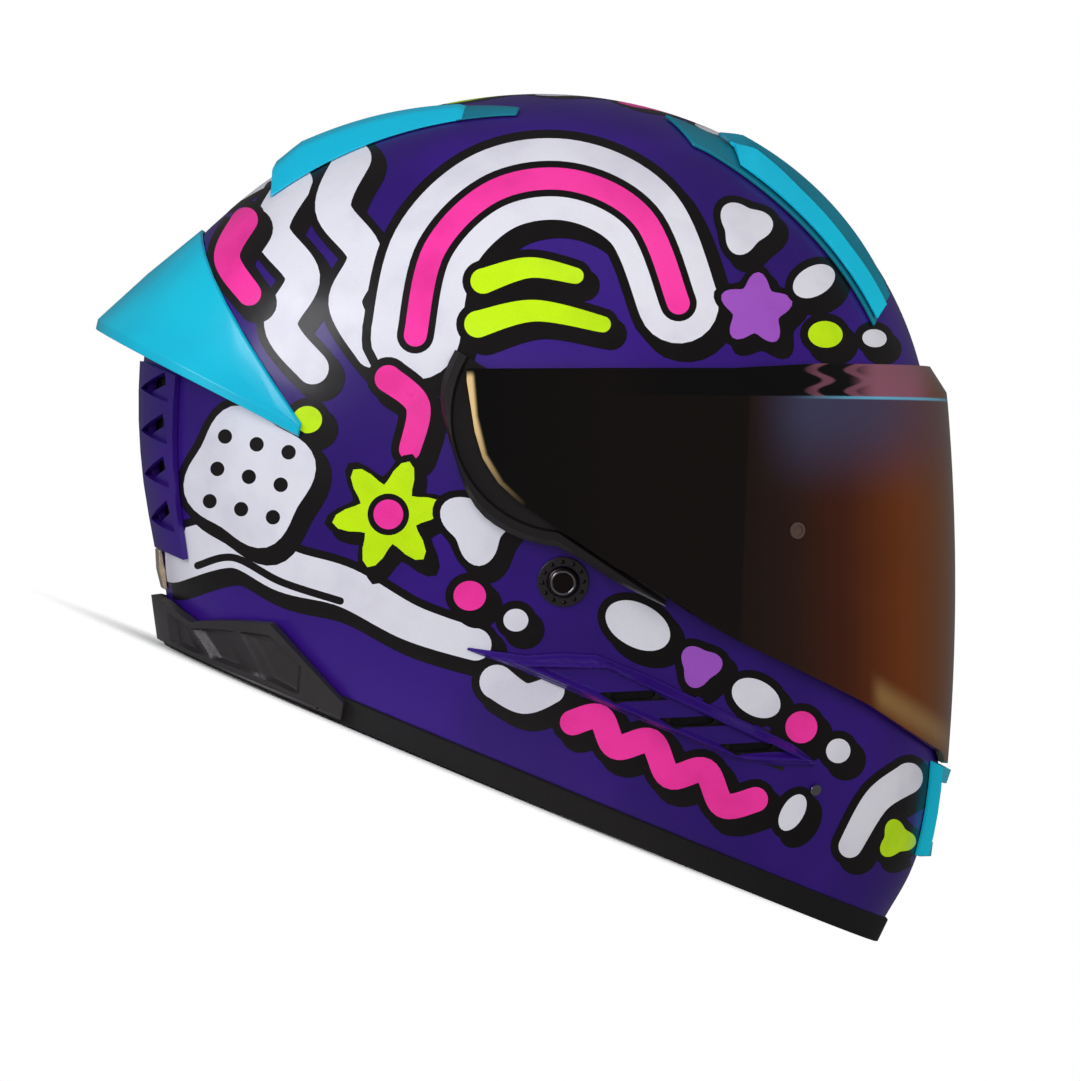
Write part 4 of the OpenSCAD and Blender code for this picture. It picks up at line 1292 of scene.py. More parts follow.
class Artwork:
    """Lays the graphics on the shell, one thin film for each ink."""

    cell = 3.6
    # The longest edge that isn't split, as a share of a cell
    longest = 1.6
    same_corner = 0.02
    lift = 0.1
    depth = 0.25

    def __init__(self, shell: BVHTree) -> None:
        """Start with no film laid."""
        self.shell = shell
        self.films: dict[Ink, list[bmesh.types.BMesh]] = {ink: [] for ink in Ink}

    @staticmethod
    def layers(motifs: Sequence[Motif]) -> list[Layer]:
        """List what is laid, from the lowest to the topmost."""
        made = []
        for motif in motifs:
            for shift in (motif.shadow, NO_SHADOW):
                made.append(Layer(motif.shape, motif.outline, shift, Ink.BLACK))
            made.append(Layer(motif.shape, 0.0, NO_SHADOW, motif.ink))
            made += [Layer(detail, 0.0, NO_SHADOW, Ink.BLACK) for detail in motif.details]
        return made

    def drawn(self, layers: Sequence[Layer]) -> dict[Ink, bmesh.types.BMesh]:
        """Divide the drawing plane along every outline and share it out among the inks.

        Args:
            layers: what is laid, the topmost last.

        Returns:
            The flat film of each ink. No two films overlap.
        """
        spots, edges = [], []
        for layer in layers:
            first, count = len(spots), len(layer.outline)
            spots += layer.outline
            edges += [(first + k, first + (k + 1) % count) for k in range(count)]
        low = [math.floor(min(layer.low[k] for layer in layers) / self.cell) for k in (0, 1)]
        high = [math.ceil(max(layer.high[k] for layer in layers) / self.cell) for k in (0, 1)]
        for i in range(low[0], high[0] + 1):
            spots += [Vector((i, j)) * self.cell for j in range(low[1], high[1] + 1)]
        corners, _, faces = delaunay_2d_cdt(spots, edges, [], 0, self.same_corner)[:3]
        films = {ink: bmesh.new() for ink in Ink}
        placed: dict[tuple[Ink, int], bmesh.types.BMVert] = {}
        for face in faces:
            middle = (corners[face[0]] + corners[face[1]] + corners[face[2]]) / 3
            ink = next((layer.ink for layer in reversed(layers) if layer.covers(middle)), None)
            if ink is None:
                continue
            for k in face:
                if (ink, k) not in placed:
                    placed[ink, k] = films[ink].verts.new(corners[k].to_3d())
            films[ink].faces.new([placed[ink, k] for k in face])
        return films

    def laid(self, bm: bmesh.types.BMesh, view: View) -> None:
        """Lay a flat film on the shell and turn its faces outwards."""
        missed = []
        for vert in bm.verts:
            found = view.onto(self.shell, vert.co)
            if found is None:
                missed.append(vert)
            else:
                vert.co = found
        bmesh.ops.delete(bm, geom=missed, context="VERTS")
        for _ in range(2):
            long = [e for e in bm.edges if e.calc_length() > self.cell * self.longest]
            bmesh.ops.subdivide_edges(bm, edges=long, cuts=1)
        bmesh.ops.triangulate(bm, faces=bm.faces)
        for vert in bm.verts:
            place, normal, _, _ = self.shell.find_nearest(vert.co)
            vert.co = place + normal * self.lift
        bm.normal_update()
        bmesh.ops.reverse_faces(bm, faces=[f for f in bm.faces if f.normal.dot(view.away) < 0])

    def draw(self, motifs: Sequence[Motif], view: View, both_sides: bool) -> None:
        """Lay motifs through one view, and their mirror images."""
        for ink, film in self.drawn(self.layers(motifs)).items():
            self.laid(film, view)
            self.films[ink].append(Bench.both_sides(film) if both_sides else film)

    def finish(self) -> None:
        """Turn the films into pieces."""
        for ink, films in self.films.items():
            bm = Bench.joined(films)
            bmesh.ops.delete(bm, geom=[v for v in bm.verts if not v.link_faces], context="VERTS")
            made = Bench.piece("graphics_" + ink.value, bm)
            Bench.walls(made, self.depth).use_even_offset = False
            Bench.settle(made)
            Bench.shade(made, 30)
            Bench.dress(made, INK_FINISH[ink])


ARCH = ((-56, 30), (-49, 62), (-27, 84), (2, 88), (28, 74), (41, 42))
ZIGZAG = ((2, -113), (12, -111), (18, -122), (31, -120), (38, -133), (51, -131), (58, -144), (70, -142))
DOTS = tuple(
    Blob((-118 + 12 * i + 3 * j, -22 - 3 * i + 12 * j), (2.7,) * 4) for i in (-1, 0, 1) for j in (-1, 0, 1)
)
SIDE_MOTIFS = (
    Motif(Stroke(((-102, 88), (-110, 70), (-98, 52), (-106, 34), (-94, 18)), 14, 12), Ink.WHITE),
    Motif(Stroke(((-80, 97), (-87, 78), (-75, 60), (-82, 42), (-72, 24)), 14, 12), Ink.WHITE),
    Motif(Stroke(((-121, 74), (-127, 60), (-118, 46)), 11, 9), Ink.PINK),
    Motif(Blob((-96, -1), (5.5, 5) * 2), Ink.LIME),
    Motif(Stroke(ARCH, 33, 30), Ink.WHITE, (), 3.4),
    Motif(Stroke(ARCH, 8.5), Ink.PINK, (), 2.6, NO_SHADOW),
    Motif(Stroke(((-31, 50), (-14, 55), (3, 52)), 9.5, 6), Ink.LIME),
    Motif(Stroke(((-33, 34), (-12, 39), (13, 34)), 10, 6), Ink.LIME),
    Motif(Blob((66, 71), (11, 7.5) * 3, 12), Ink.WHITE),
    Motif(Blob((70, 40), (14, 9) * 5, 14), Ink.VIOLET),
    Motif(Blob((92, 51), (6.5, 5.5) * 2, 30, 1.35), Ink.WHITE),
    Motif(Blob((96, 31), (5.5, 5) * 2, 0, 1.2), Ink.LIME),
    Motif(Blob((115, 30), (4, 3.4) * 2, 0, 1.2), Ink.WHITE),
    Motif(Stroke(((-66, 14), (-55, 4), (-58, -12)), 10, 8), Ink.PINK),
    Motif(
        Stroke(((-148, -52), (-124, -47), (-104, -57), (-82, -63), (-58, -76), (-34, -84)), 19, 12),
        Ink.WHITE,
        (Stroke(((-138, -55), (-124, -52), (-106, -61), (-84, -68)), 2.8),),
    ),
    Motif(Blob((-118, -22), (27, 22) * 4, 14, 0.95), Ink.WHITE, DOTS),
    Motif(Blob((-66, -36), (21, 11) * 6, 8), Ink.LIME),
    Motif(Blob((-66, -36), (5.5,) * 4), Ink.PINK, (), 2.2, NO_SHADOW),
    Motif(Blob((-33, -40), (15, 9.5) * 3, 32), Ink.WHITE),
    Motif(Blob((-36, -66), (6, 5.5) * 2), Ink.PINK),
    Motif(Blob((-19, -75), (4.6, 4.2) * 2), Ink.WHITE),
    Motif(Blob((26, -77), (9.5, 8) * 2, -28, 1.35), Ink.WHITE),
    Motif(Blob((49, -92), (8.5, 6) * 3, 10), Ink.VIOLET),
    Motif(Blob((70, -104), (7.5, 6.5) * 2, -30, 1.3), Ink.WHITE),
    Motif(Blob((87, -115), (6,) * 4), Ink.PINK),
    Motif(Blob((101, -124), (4.6,) * 4), Ink.WHITE),
    Motif(Stroke(((-26, -98), (-16, -104), (-6, -101)), 13, 10), Ink.WHITE),
    Motif(Stroke(ZIGZAG, 9.5), Ink.PINK),
    Motif(Blob((84, -147), (5, 4.2) * 2, 60, 1.5), Ink.WHITE),
    Motif(Stroke(((128, -135), (116, -143), (106, -160)), 12, 9), Ink.WHITE),
    Motif(Blob((124, -158), (8, 5) * 3, -14), Ink.LIME),
)

# Drawn in plan, x along the helmet and y to its left
CHEVRON_INKS = (Ink.LIME, Ink.WHITE, Ink.PINK, Ink.WHITE, Ink.VIOLET, Ink.WHITE)
CROWN_MOTIFS = tuple(
    Motif(Stroke(((x - 13, -17), (x, 0), (x - 13, 17)), 11), ink)
    for x, ink in zip(range(-74, 77, 30), CHEVRON_INKS)
)

# Drawn from behind, across to the wearer's right and up
REAR_MOTIFS = (
    Motif(Stroke(((-34, 72), (-20, 78), (-6, 71), (8, 78), (22, 71), (34, 76)), 12), Ink.WHITE),
    Motif(Stroke(((-26, 54), (-12, 48), (2, 55), (16, 48), (28, 53)), 10), Ink.PINK),
    Motif(Stroke(((-26, 178), (-12, 172), (2, 179), (16, 172), (28, 177)), 12), Ink.WHITE),
)


# Sub-assemblies


@dataclass
class OuterShell:
    """The lacquered shell with its eye port, slots and graphics."""

    form: ShellForm = SHELL
    columns: int = 232
    rows: int = 92
    port_back: tuple[Spot, ...] = ((54, 9), (46, 6), (41, -2), (39.5, -16), (41, -34), (46, -50), (54, -61))
    port_top: float = 9.0
    port_margin: float = 14.0
    # Places of the eye port's lower edge, the last well ahead of the shell
    port_low: tuple[float, ...] = (62, 80, 113, 141, 200)
    # Share of the rows that lie under the widest height
    straight: float = 0.45
    slot_radius: float = 2.6
    slot_depth: float = 8.0
    louvre_heights: tuple[float, ...] = (47.25, 61.75, 76.25, 90.75)
    # Degrees round the shell between which the exhaust grilles lie, and their heights
    grille_turns: tuple[float, float] = (192.5, 207.5)
    grille_heights: tuple[float, float] = (38, 92)
    # What a side vent cover hides: along the helmet, and in height
    cover_length: tuple[float, float] = (44, 121)
    cover_height: tuple[float, float] = (46.4, 57)

    def port(self) -> list[Vector]:
        """Find the eye port's outline in the worn frame."""
        low = [(a, along(VISOR_LOW_LINE, a) + self.port_margin) for a in self.port_low]
        return [Vector(spot) for spot in ((self.port_low[-1], self.port_top), *self.port_back, *low)]

    def surface(self) -> bmesh.types.BMesh:
        """Lay the closed surface from the rim to the crown."""
        form, straight = self.form, self.straight

        def at(u: float, v: float) -> Vector:
            """Find a point by its share round and up."""
            if v > 0.9999:
                return Vector((form.ring(form.crown)[0], 0, form.crown))
            if v <= straight:
                z = lerp(form.foot, form.widest, v / straight)
            else:
                quarter = math.pi / 2 * (v - straight) / (1 - straight)
                z = form.widest + (form.crown - form.widest) * math.sin(quarter)
            return form.skin(360 * u, z)

        return Bench.panel(self.columns, self.rows, at)

    def capsule(self, p: Vector, q: Vector, radius: float, depth: float) -> bmesh.types.BMesh:
        """Make a slot cutter between two points of the surface."""
        bm = bmesh.new()
        for point in (p, q):
            bmesh.ops.create_cone(
                bm, cap_ends=True, segments=20, radius1=radius, radius2=radius, depth=2 * depth,
                matrix=facing(point, self.form.outward(point)),
            )
        hull = bmesh.ops.convex_hull(bm, input=bm.verts)
        spare = hull["geom_interior"] + hull["geom_unused"]
        inner = {e for e in spare if isinstance(e, bmesh.types.BMVert)}
        bmesh.ops.delete(bm, geom=list(inner), context="VERTS")
        kept = {f for f in hull["geom"] if isinstance(f, bmesh.types.BMFace)}
        bmesh.ops.delete(bm, geom=[f for f in bm.faces if f not in kept], context="FACES")
        return bm

    def cutters(self) -> bmesh.types.BMesh:
        """Make everything that is cut out of the shell."""
        side, skin = self.form.side, self.form.skin
        port = Bench.prism([from_worn(a, -200, b) for a, b in self.port()], Vector((0, 400, 0)))
        parts = [port, self.capsule(skin(-7, 52), skin(7, 52), 5, 10)]
        ends = [(side(x - 5, z - 2.75), side(x + 5, z + 2.75)) for x, z in SIDE_SLOTS]
        ends += [(skin(195, z - 3), skin(205, z + 3)) for z in self.louvre_heights]
        one_side = [self.capsule(p, q, self.slot_radius, self.slot_depth) for p, q in ends]
        parts += [Bench.mirrored(part) for part in one_side] + one_side
        return Bench.joined(parts)

    def make(self) -> None:
        """Make the shell and lay its graphics."""
        bm = self.surface()
        tree = BVHTree.FromBMesh(bm)
        made = Bench.piece("painted_shell", bm)
        Bench.walls(made, self.form.wall)
        Bench.cut(made, Bench.piece("shell_cutter", self.cutters()))
        Bench.shade(made, 35)
        Bench.dress(made, PURPLE, "outer_shell")
        # Painted shade: the shell under the side vent covers is black, as seen through their slots
        Bench.with_painted_shade(made, BLACK_PLASTIC, self.painted_shade_under_cover)
        self.paint(tree)

    def painted_shade_under_cover(self, p: Vector, away: Vector) -> bool:
        """Tell whether a face lies under a side vent cover, where black is painted as the shade seen
        through the slots.
        """
        (rear, front), (low, high) = self.cover_length, self.cover_height
        return rear < p.x < front and low < p.z < high and abs(p.y) > 70

    def under_grille(self, p: Vector) -> bool:
        """Tell whether an exhaust grille covers a point."""
        near, far = (abs(self.form.skin(turn, p.z).y) for turn in self.grille_turns)
        low, high = self.grille_heights
        return p.x < 0 and low < p.z < high and near < abs(p.y) < far

    def paint(self, tree: BVHTree) -> None:
        """Lay the graphics on the shell's surface."""
        art = Artwork(tree)
        c, s = math.cos(PITCH), math.sin(PITCH)
        x_axis, y_axis, z_axis = Matrix.Identity(3)
        port = self.port()

        def on_side(p: Vector) -> bool:
            """Keep what is above the rim, off the eye port and off the openings."""
            in_port = encloses(port, Vector(to_worn(p.x, p.z)))
            near_slot = any(abs(p.x - x) < 9 and abs(p.z - z) < 6 for x, z in SIDE_SLOTS)
            high_up = p.z > 215 and p.y > -30
            return p.z > 8 and p.y < 0 and not (in_port or near_slot or high_up or self.under_grille(p))

        def on_crown(p: Vector) -> bool:
            """Keep what lies between the crown's vents."""
            return p.z > 190 and abs(p.y) < 32

        def on_back(p: Vector) -> bool:
            """Keep what is above the diffuser and off the grilles."""
            return p.x < 0 and p.z > 22 and not self.under_grille(p)

        pivot = Vector((PIVOT[0], -300, PIVOT[1]))
        art.draw(SIDE_MOTIFS, View(pivot, Vector((c, 0, s)), Vector((-s, 0, c)), on_side), True)
        art.draw(CROWN_MOTIFS, View(400 * z_axis, x_axis, y_axis, on_crown), False)
        art.draw(REAR_MOTIFS, View(-400 * x_axis, -y_axis, z_axis, on_back), False)
        art.finish()


@dataclass
class VisorUnit:
    """The mirrored visor, its insert and its pivots."""

    form: VisorForm = VISOR
    ear_share: float = 0.13
    bevel_share: float = 0.12
    columns: int = 150
    rows: int = 34
    pin_spot: Spot = (85.0, -42.0)

    def at(self, u: float, v: float) -> Vector:
        """Find a point of the outer face."""
        form, ear = self.form, self.ear_share
        bevel = (v - 1 + self.bevel_share) / self.bevel_share
        if u < ear or u > 1 - ear:
            side = -1 if u < 0.5 else 1
            a = lerp(form.rear, form.ear_flat, min(u, 1 - u) / ear)
            low, foot, high = along(VISOR_LOW_LINE, a), form.bevel_foot(a), along(VISOR_HIGH_LINE, a)
            b = lerp(foot, high, bevel) if bevel > 0 else lerp(low, foot, v / (1 - self.bevel_share))
            return from_worn(a, side * form.half_width, b)
        p = math.radians(lerp(-90, 90, (u - ear) / (1 - 2 * ear)))
        low, foot, high = form.column(p)
        if bevel > 0:
            start, end = form.radius(p, foot), form.top_radius(p, high)
            return form.on_ray(p, lerp(foot, high, bevel), lerp(start, end, bevel))
        b = lerp(low, foot, v / (1 - self.bevel_share))
        return form.on_ray(p, b, form.radius(p, b))

    def pin_cap(self) -> bmesh.types.BMesh:
        """Make the round cap over the right end of the insert."""
        a, b = self.pin_spot

        def ahead(p: float) -> bool:
            """Tell whether a column lies ahead of the pin."""
            return self.form.radius(p, b) * math.cos(self.form.ray(p)) > a

        p = last_where(0.0, math.pi / 2, ahead)
        here, beside, above = (
            self.form.on_ray(-q, h, self.form.radius(q, h)) for q, h in ((p, b), (p - 0.02, b), (p, b + 1))
        )
        away = (beside - here).cross(above - here).normalized()
        bm = bmesh.new()
        bmesh.ops.create_cone(
            bm, cap_ends=True, segments=40, radius1=3.3, radius2=3.0, depth=1.3, matrix=facing(here, away),
        )
        top = max(bm.faces, key=lambda f: f.calc_center_median().dot(away))
        for thickness, depth in ((0.9, 0.0), (0.05, -0.45)):
            bmesh.ops.inset_region(bm, faces=[top], thickness=thickness, depth=depth)
        return bm

    def make(self) -> None:
        """Make the visor and what turns with it."""
        made = Bench.piece("mirror_visor", Bench.panel(self.columns, self.rows, self.at))
        Bench.walls(made, self.form.wall)
        Bench.settle(made)
        Bench.shade(made, 24)
        Bench.rounded(made, 0.7, 50, 3)
        Bench.dress(made, VISOR_PAINTED_REFLECTIONS, "visor", Body.VISOR)
        Bench.refined("anti_fog_insert", INSERT, 0.2, body=Body.VISOR)
        Bench.refined("insert_pins", BLACK_PLASTIC, 0.3, body=Body.VISOR)
        caps = Bench.piece("insert_pin_caps", Bench.both_sides(self.pin_cap()))
        Bench.shade(caps, 30)
        Bench.dress(caps, CAP_PLASTIC, body=Body.VISOR)
        for side in SIDES:
            Bench.refined("visor_pivot_ring_" + side, BLACK_PLASTIC, body=Body.VISOR)
            Bench.refined("visor_base_plate_" + side, PLATE_PLASTIC, 0.6)
        Bench.refined("base_plate_screws", STEEL, 0.3)


@dataclass
class CrownVents:
    """The vents on the crown, each side a mirror image of the other."""

    form: ShellForm = SHELL
    seat: float = 0.3
    base_wall: float = 1.4
    slider_lift: float = 2.4
    # A front vent's middle line: how far to the side it is, by its place along the helmet
    front_line: tuple[Spot, ...] = ((-14, -38), (90, -49))
    # Pairs are values at an outer and an inner edge, or behind and in front
    base_rear: Spot = (0.0, -14.0)
    base_margin: Spot = (2.6, 1.2)
    slider_rear: Spot = (19.0, 7.0)
    slider_fade: Spot = (1.0, 0.55)
    slider_edge: float = 0.4
    front_end: float = 87.0
    # Least half of a front slider's width, and how much it widens
    front_half_width: Spot = (3.0, 7.5)
    # A slider's height over its underside, from its outer edge over the ridge and a dip to its inner edge
    slider_profile: tuple[Spot, ...] = ((0, 0.9), (0.4, 4.7), (0.55, 2.2), (1, 4.4))
    # Where the ridge is across the slider, by its place along the helmet
    ridge_line: tuple[Spot, ...] = ((6, 0.86), (22, 0.56), (42, 0.36), (66, 0.34), (88, 0.5))
    rear_mid: Spot = (-36.0, -51.0)
    rear_ends: Spot = (-138.0, -65.0)
    rear_half_width: Spot = (17.0, 3.5)
    rear_ridge: Spot = (0.5, 0.6)
    rear_height: Spot = (8.0, 1.0)
    rear_edge: float = 0.8
    # Where a rear vent steps down, and how much of its rise is a flank
    rear_step: float = 0.72
    flank: float = 0.72

    def front_half(self, x: float) -> float:
        """Find half of a front slider's width, widest halfway along."""
        least, widening = self.front_half_width
        rear = self.slider_rear[1]
        share = min(max((x - rear) / (self.front_end - rear), 0.0), 1.0)
        return least + widening * math.sin(math.pi * lerp(0.16, 0.84, share)) ** 0.8

    def across(self, x: float, y: float) -> float:
        """Find where a point is across a front slider, from 0 outside to 1 inside."""
        return ((-abs(y) - along(self.front_line, x)) / self.front_half(x) + 1) / 2

    def front_base(self) -> bmesh.types.BMesh:
        """Make the fixed base that a front slider runs on."""

        def at(lift: float) -> Callable[[float, float], Vector]:
            """Find the points this far from the shell."""

            def point(u: float, v: float) -> Vector:
                """Find one point."""
                x = lerp(lerp(*self.base_rear, v), self.front_end + 1, u)
                half = self.front_half(x) + lerp(*self.base_margin, u)
                return self.form.roof(x, along(self.front_line, x) + half * (2 * v - 1), lift)

            return point

        return Bench.slab(48, 8, at(self.seat + self.base_wall), at(self.seat))

    def front_slider(self) -> bmesh.types.BMesh:
        """Make a front slider: an outer facet, a ridge and a dished inner facet."""
        fold = self.slider_profile[1][0]

        def spot(u: float, v: float) -> Spot:
            """Find a point in plan."""
            x = lerp(lerp(*self.slider_rear, v), self.front_end, u)
            ridge = along(self.ridge_line, x)
            w = v / fold * ridge if v < fold else lerp(ridge, 1, (v - fold) / (1 - fold))
            return x, along(self.front_line, x) + self.front_half(x) * (2 * w - 1)

        def top(u: float, v: float) -> Vector:
            """Find a point of the facets."""
            rise = min((u + 0.04) / 0.14, 1.0) * lerp(*self.slider_fade, u)
            height = along(self.slider_profile, v) * rise
            return self.form.roof(*spot(u, v), self.slider_lift + self.slider_edge + height)

        return Bench.slab(48, 20, top, lambda u, v: self.form.roof(*spot(u, v), self.slider_lift))

    def rear_vent(self) -> bmesh.types.BMesh:
        """Make a rear vent: a wedge that stands up behind and fades out in front."""

        def spot(u: float, v: float) -> Spot:
            """Find a point in plan."""
            half = lerp(*self.rear_half_width, u ** 1.2)
            return lerp(*self.rear_ends, u), lerp(*self.rear_mid, u) + half * (2 * v - 1)

        def top(u: float, v: float) -> Vector:
            """Find a point of the facets."""
            ridge = lerp(*self.rear_ridge, u)
            rise = v / ridge if v < ridge else (1 - v) / (1 - ridge)
            plateau = min(rise / self.flank, 1.0)
            front = lerp(1, 0.5, smooth((u - self.rear_step) / 0.03))
            height = lerp(*self.rear_height, u ** 0.6) * (0.55 + 0.45 * min(u / 0.1, 1.0)) * front
            return self.form.roof(*spot(u, v), self.seat + self.rear_edge + height * plateau)

        return Bench.slab(40, 18, top, lambda u, v: self.form.roof(*spot(u, v), self.seat))

    def make(self) -> None:
        """Make the six vents."""
        step = lerp(*self.rear_ends, self.rear_step + 0.01)

        def inner_facet(p: Vector, away: Vector) -> bool:
            """Tell whether a face is on the inner side of a slider's ridge."""
            return self.across(p.x, p.y) > along(self.ridge_line, p.x) + 0.01

        # The front vent bases, the sliders' faces past the ridge and the rear vents' front steps get the
        # darker cyan as painted shade
        kinds = (
            ("front_vent_base", self.front_base(), PAINTED_SHADE_CYAN, None),
            ("front_vent_slider", self.front_slider(), CYAN, inner_facet),
            ("rear_top_vent", self.rear_vent(), CYAN, lambda p, away: p.x > step),
        )
        for name, right, finish, painted_shade_faces in kinds:
            for side, bm in (("left", Bench.mirrored(right)), ("right", right)):
                body = Body(side + "_vent_slider") if name == "front_vent_slider" else Body.HELMET
                made = Bench.piece(name + "_" + side + "_form", bm)
                Bench.shade(made, 22)
                Bench.rounded(made, 0.5, 25)
                Bench.dress(made, finish, name + "_" + side, body)
                if painted_shade_faces:
                    Bench.with_painted_shade(made, PAINTED_SHADE_CYAN, painted_shade_faces)


@dataclass
class SideVents:
    """The side vent covers with their meshes and screws."""

    form: ShellForm = SHELL
    seat: float = 0.3
    thickness: float = 2.6
    ends: Spot = (-5.0, 131.0)
    upper: tuple[Spot, ...] = (
        (-5, 44.4), (16, 50), (28, 56), (40, 60.3), (60, 60.6), (80, 59.6), (100, 58.6), (120, 57.5),
        (131, 54.5),
    )
    lower: tuple[Spot, ...] = (
        (-5, 43.6), (16, 44.4), (28, 44.2), (80, 44.2), (100, 44.4), (118, 48), (131, 53.3),
    )
    # A slot's corners round its middle, and how deep it is cut in and out
    slot_corners: tuple[Spot, ...] = ((-12.4, -3.7), (5.2, 4.6), (12.4, 3.7), (-5.2, -4.6))
    slot_in: float = 6.0
    slot_through: float = 14.0
    # The middle line of the raised border
    border: tuple[Spot, ...] = ((16, 47.4), (45, 58.7), (126, 54.6), (103, 46.2))
    # Height and width of the rounded edge, the border and the step down to the middle
    rounding: Spot = (2.0, 1.8)
    raised: Spot = (1.5, 1.3)
    sinking: Spot = (0.9, 1.2)
    # How fast the cover thins towards its rear and front tips
    taper: Spot = (0.3, 0.6)
    # A slot's wall: how little it faces outward, and how far it is from the slot's middle
    wall_facing: float = 0.06
    wall_reach: Spot = (15.0, 6.0)

    def spot(self, u: float, v: float) -> Spot:
        """Find a point of the cover in side view."""
        x = lerp(*self.ends, u)
        return x, lerp(along(self.lower, x), along(self.upper, x), v)

    def within(self, x: float, z: float) -> float:
        """Find how far inside the raised border a point is."""
        gaps = []
        for (x1, z1), (x2, z2) in zip(self.border, self.border[1:] + self.border[:1]):
            gaps.append(((x - x1) * (z2 - z1) - (z - z1) * (x2 - x1)) / math.hypot(x2 - x1, z2 - z1))
        return min(gaps)

    def top(self, u: float, v: float) -> Vector:
        """Find a point of the cover's face: a raised border round a sunk middle."""
        x, z = self.spot(u, v)
        rear, front = self.ends
        height = along(self.upper, x) - along(self.lower, x)
        to_edge = min(min(v, 1 - v) * height, (x - rear) * self.taper[0], (front - x) * self.taper[1])
        rounded = self.rounding[0] * (1 - smooth(to_edge / self.rounding[1]))
        inside = self.within(x, z)
        border = self.raised[0] * (1 - smooth(abs(inside) / self.raised[1]))
        sunk = self.sinking[0] * smooth((inside - 0.6) / self.sinking[1])
        return self.form.side(x, z, self.seat + self.thickness - rounded + border - sunk)

    def slot_cutter(self) -> bmesh.types.BMesh:
        """Make the slanted slots that are cut through a cover."""
        parts = []
        for x, z in SIDE_SLOTS:
            away = self.form.outward(self.form.side(x, z))
            corners = [self.form.side(x + dx, z + dz) - self.slot_in * away for dx, dz in self.slot_corners]
            parts.append(Bench.prism(corners, self.slot_through * away))
        return Bench.joined(parts)

    def in_slot(self, p: Vector, away: Vector) -> bool:
        """Tell whether a face is a wall of a slot."""
        facing_right = Vector((away.x, math.copysign(1, -p.y) * away.y, away.z))
        for x, z in SIDE_SLOTS:
            near = abs(p.x - x) < self.wall_reach[0] and abs(p.z - z) < self.wall_reach[1]
            out = self.form.outward(self.form.side(x, z))
            if near and abs(facing_right.dot(out)) < self.wall_facing:
                return True
        return False

    def make(self) -> None:
        """Make both covers and what lies behind their slots."""
        right = Bench.slab(150, 34, self.top, lambda u, v: self.form.side(*self.spot(u, v), self.seat))
        cutter = self.slot_cutter()
        for side in SIDES:
            mirror = Bench.mirrored if side == "left" else bmesh.types.BMesh.copy
            made = Bench.piece("side_vent_cover_" + side + "_form", mirror(right))
            Bench.cut(made, Bench.piece("slot_cutter", mirror(cutter)))
            Bench.shade(made, 30)
            Bench.dress(made, PURPLE, "side_vent_cover_" + side)
            # Painted shade: the slots' walls are black
            Bench.with_painted_shade(made, BLACK_PLASTIC, self.in_slot)
            Bench.refined("side_vent_mesh_" + side, MESH_GREY, 0.0)
        Bench.refined("side_vent_screws", STEEL, 0.3)


@dataclass
class RearAndChinVents:
    """The spoiler, the exhaust grilles and the chin vent."""

    def make(self) -> None:
        """Make the pieces."""
        for side in SIDES:
            Bench.refined("rear_exhaust_grille_" + side, PURPLE, 0.4)
        Bench.refined("rear_spoiler", CYAN, 0.8)
        Bench.refined("chin_vent_frame", CYAN, 0.8)
        Bench.refined("chin_vent_shutter", BLACK_PLASTIC, body=Body.SHUTTER)
        Bench.refined("chin_vent_mesh", MESH_GREY, 0.0)


@dataclass
class RimAndRear:
    """The rim trim, the diffuser, the gasket and the reflector."""

    form: ShellForm = SHELL
    base: float = 2.35
    span: float = 75.0
    height: tuple[Spot, ...] = ((0, 18), (20, 18), (34, 15), (58, 26), (75, 9))
    recess: tuple[float, float] = (22.0, 66.0)
    fins: tuple[float, ...] = (35.0, 51.0)
    fin_half: float = 5.0
    # How far a fin leans over the height, and how deep the recesses and the fins in them lie
    fin_lean: float = 12.0
    recess_depth: float = 2.8
    fin_height: float = 2.5
    wall: float = 3.4
    columns: int = 240
    rows: int = 24
    # Rows of faces below the shell's foot, and the height of the lowest
    lip_rows: int = 3
    lip: float = 1.0

    def face(self, u: float, v: float) -> Vector:
        """Find a point of the diffuser's face: two recesses with slanted fins, inside a border."""
        s = abs(lerp(-self.span, self.span, u))
        near, far = self.recess
        inside = smooth(min(s - near, far - s) / 2) * smooth((v - 0.2) / 0.06) * smooth((0.84 - v) / 0.06)
        fin = 0.0
        for middle in self.fins:
            share = (s - middle + self.fin_lean * (v - 0.5)) / self.fin_half
            if -1 < share < 1:
                fin = min((share + 1) / 1.5, (1 - share) / 0.5)
        sunk = inside * (self.recess_depth - self.fin_height * fin)
        return self.hung(u, v, self.base + self.wall - sunk)

    def hung(self, u: float, v: float, lift: float) -> Vector:
        """Find a point behind the shell, straight down from its foot where it is lower."""
        s = lerp(-self.span, self.span, u)
        foot, share = self.form.foot, self.lip_rows / self.rows
        if v < share:
            p = self.form.skin(180 + s, foot, lift)
            return Vector((p.x, p.y, lerp(self.lip, foot, v / share)))
        z = lerp(foot, along(self.height, abs(s)), (v - share) / (1 - share))
        return self.form.skin(180 + s, z, lift)

    def diffuser(self) -> bmesh.types.BMesh:
        """Make the rear diffuser."""
        return Bench.slab(self.columns, self.rows, self.face, lambda u, v: self.hung(u, v, self.base))

    def make(self) -> None:
        """Make the trims."""
        Bench.refined("rim_trim", RUBBER, 0.3, 35)
        made = Bench.piece("rear_diffuser_form", self.diffuser())
        Bench.shade(made, 26)
        Bench.dress(made, TRIM_PLASTIC, "rear_diffuser")
        Bench.refined("eye_port_gasket", RUBBER, 0.4)
        Bench.refined("rear_reflector", REFLECTOR, 0.5)


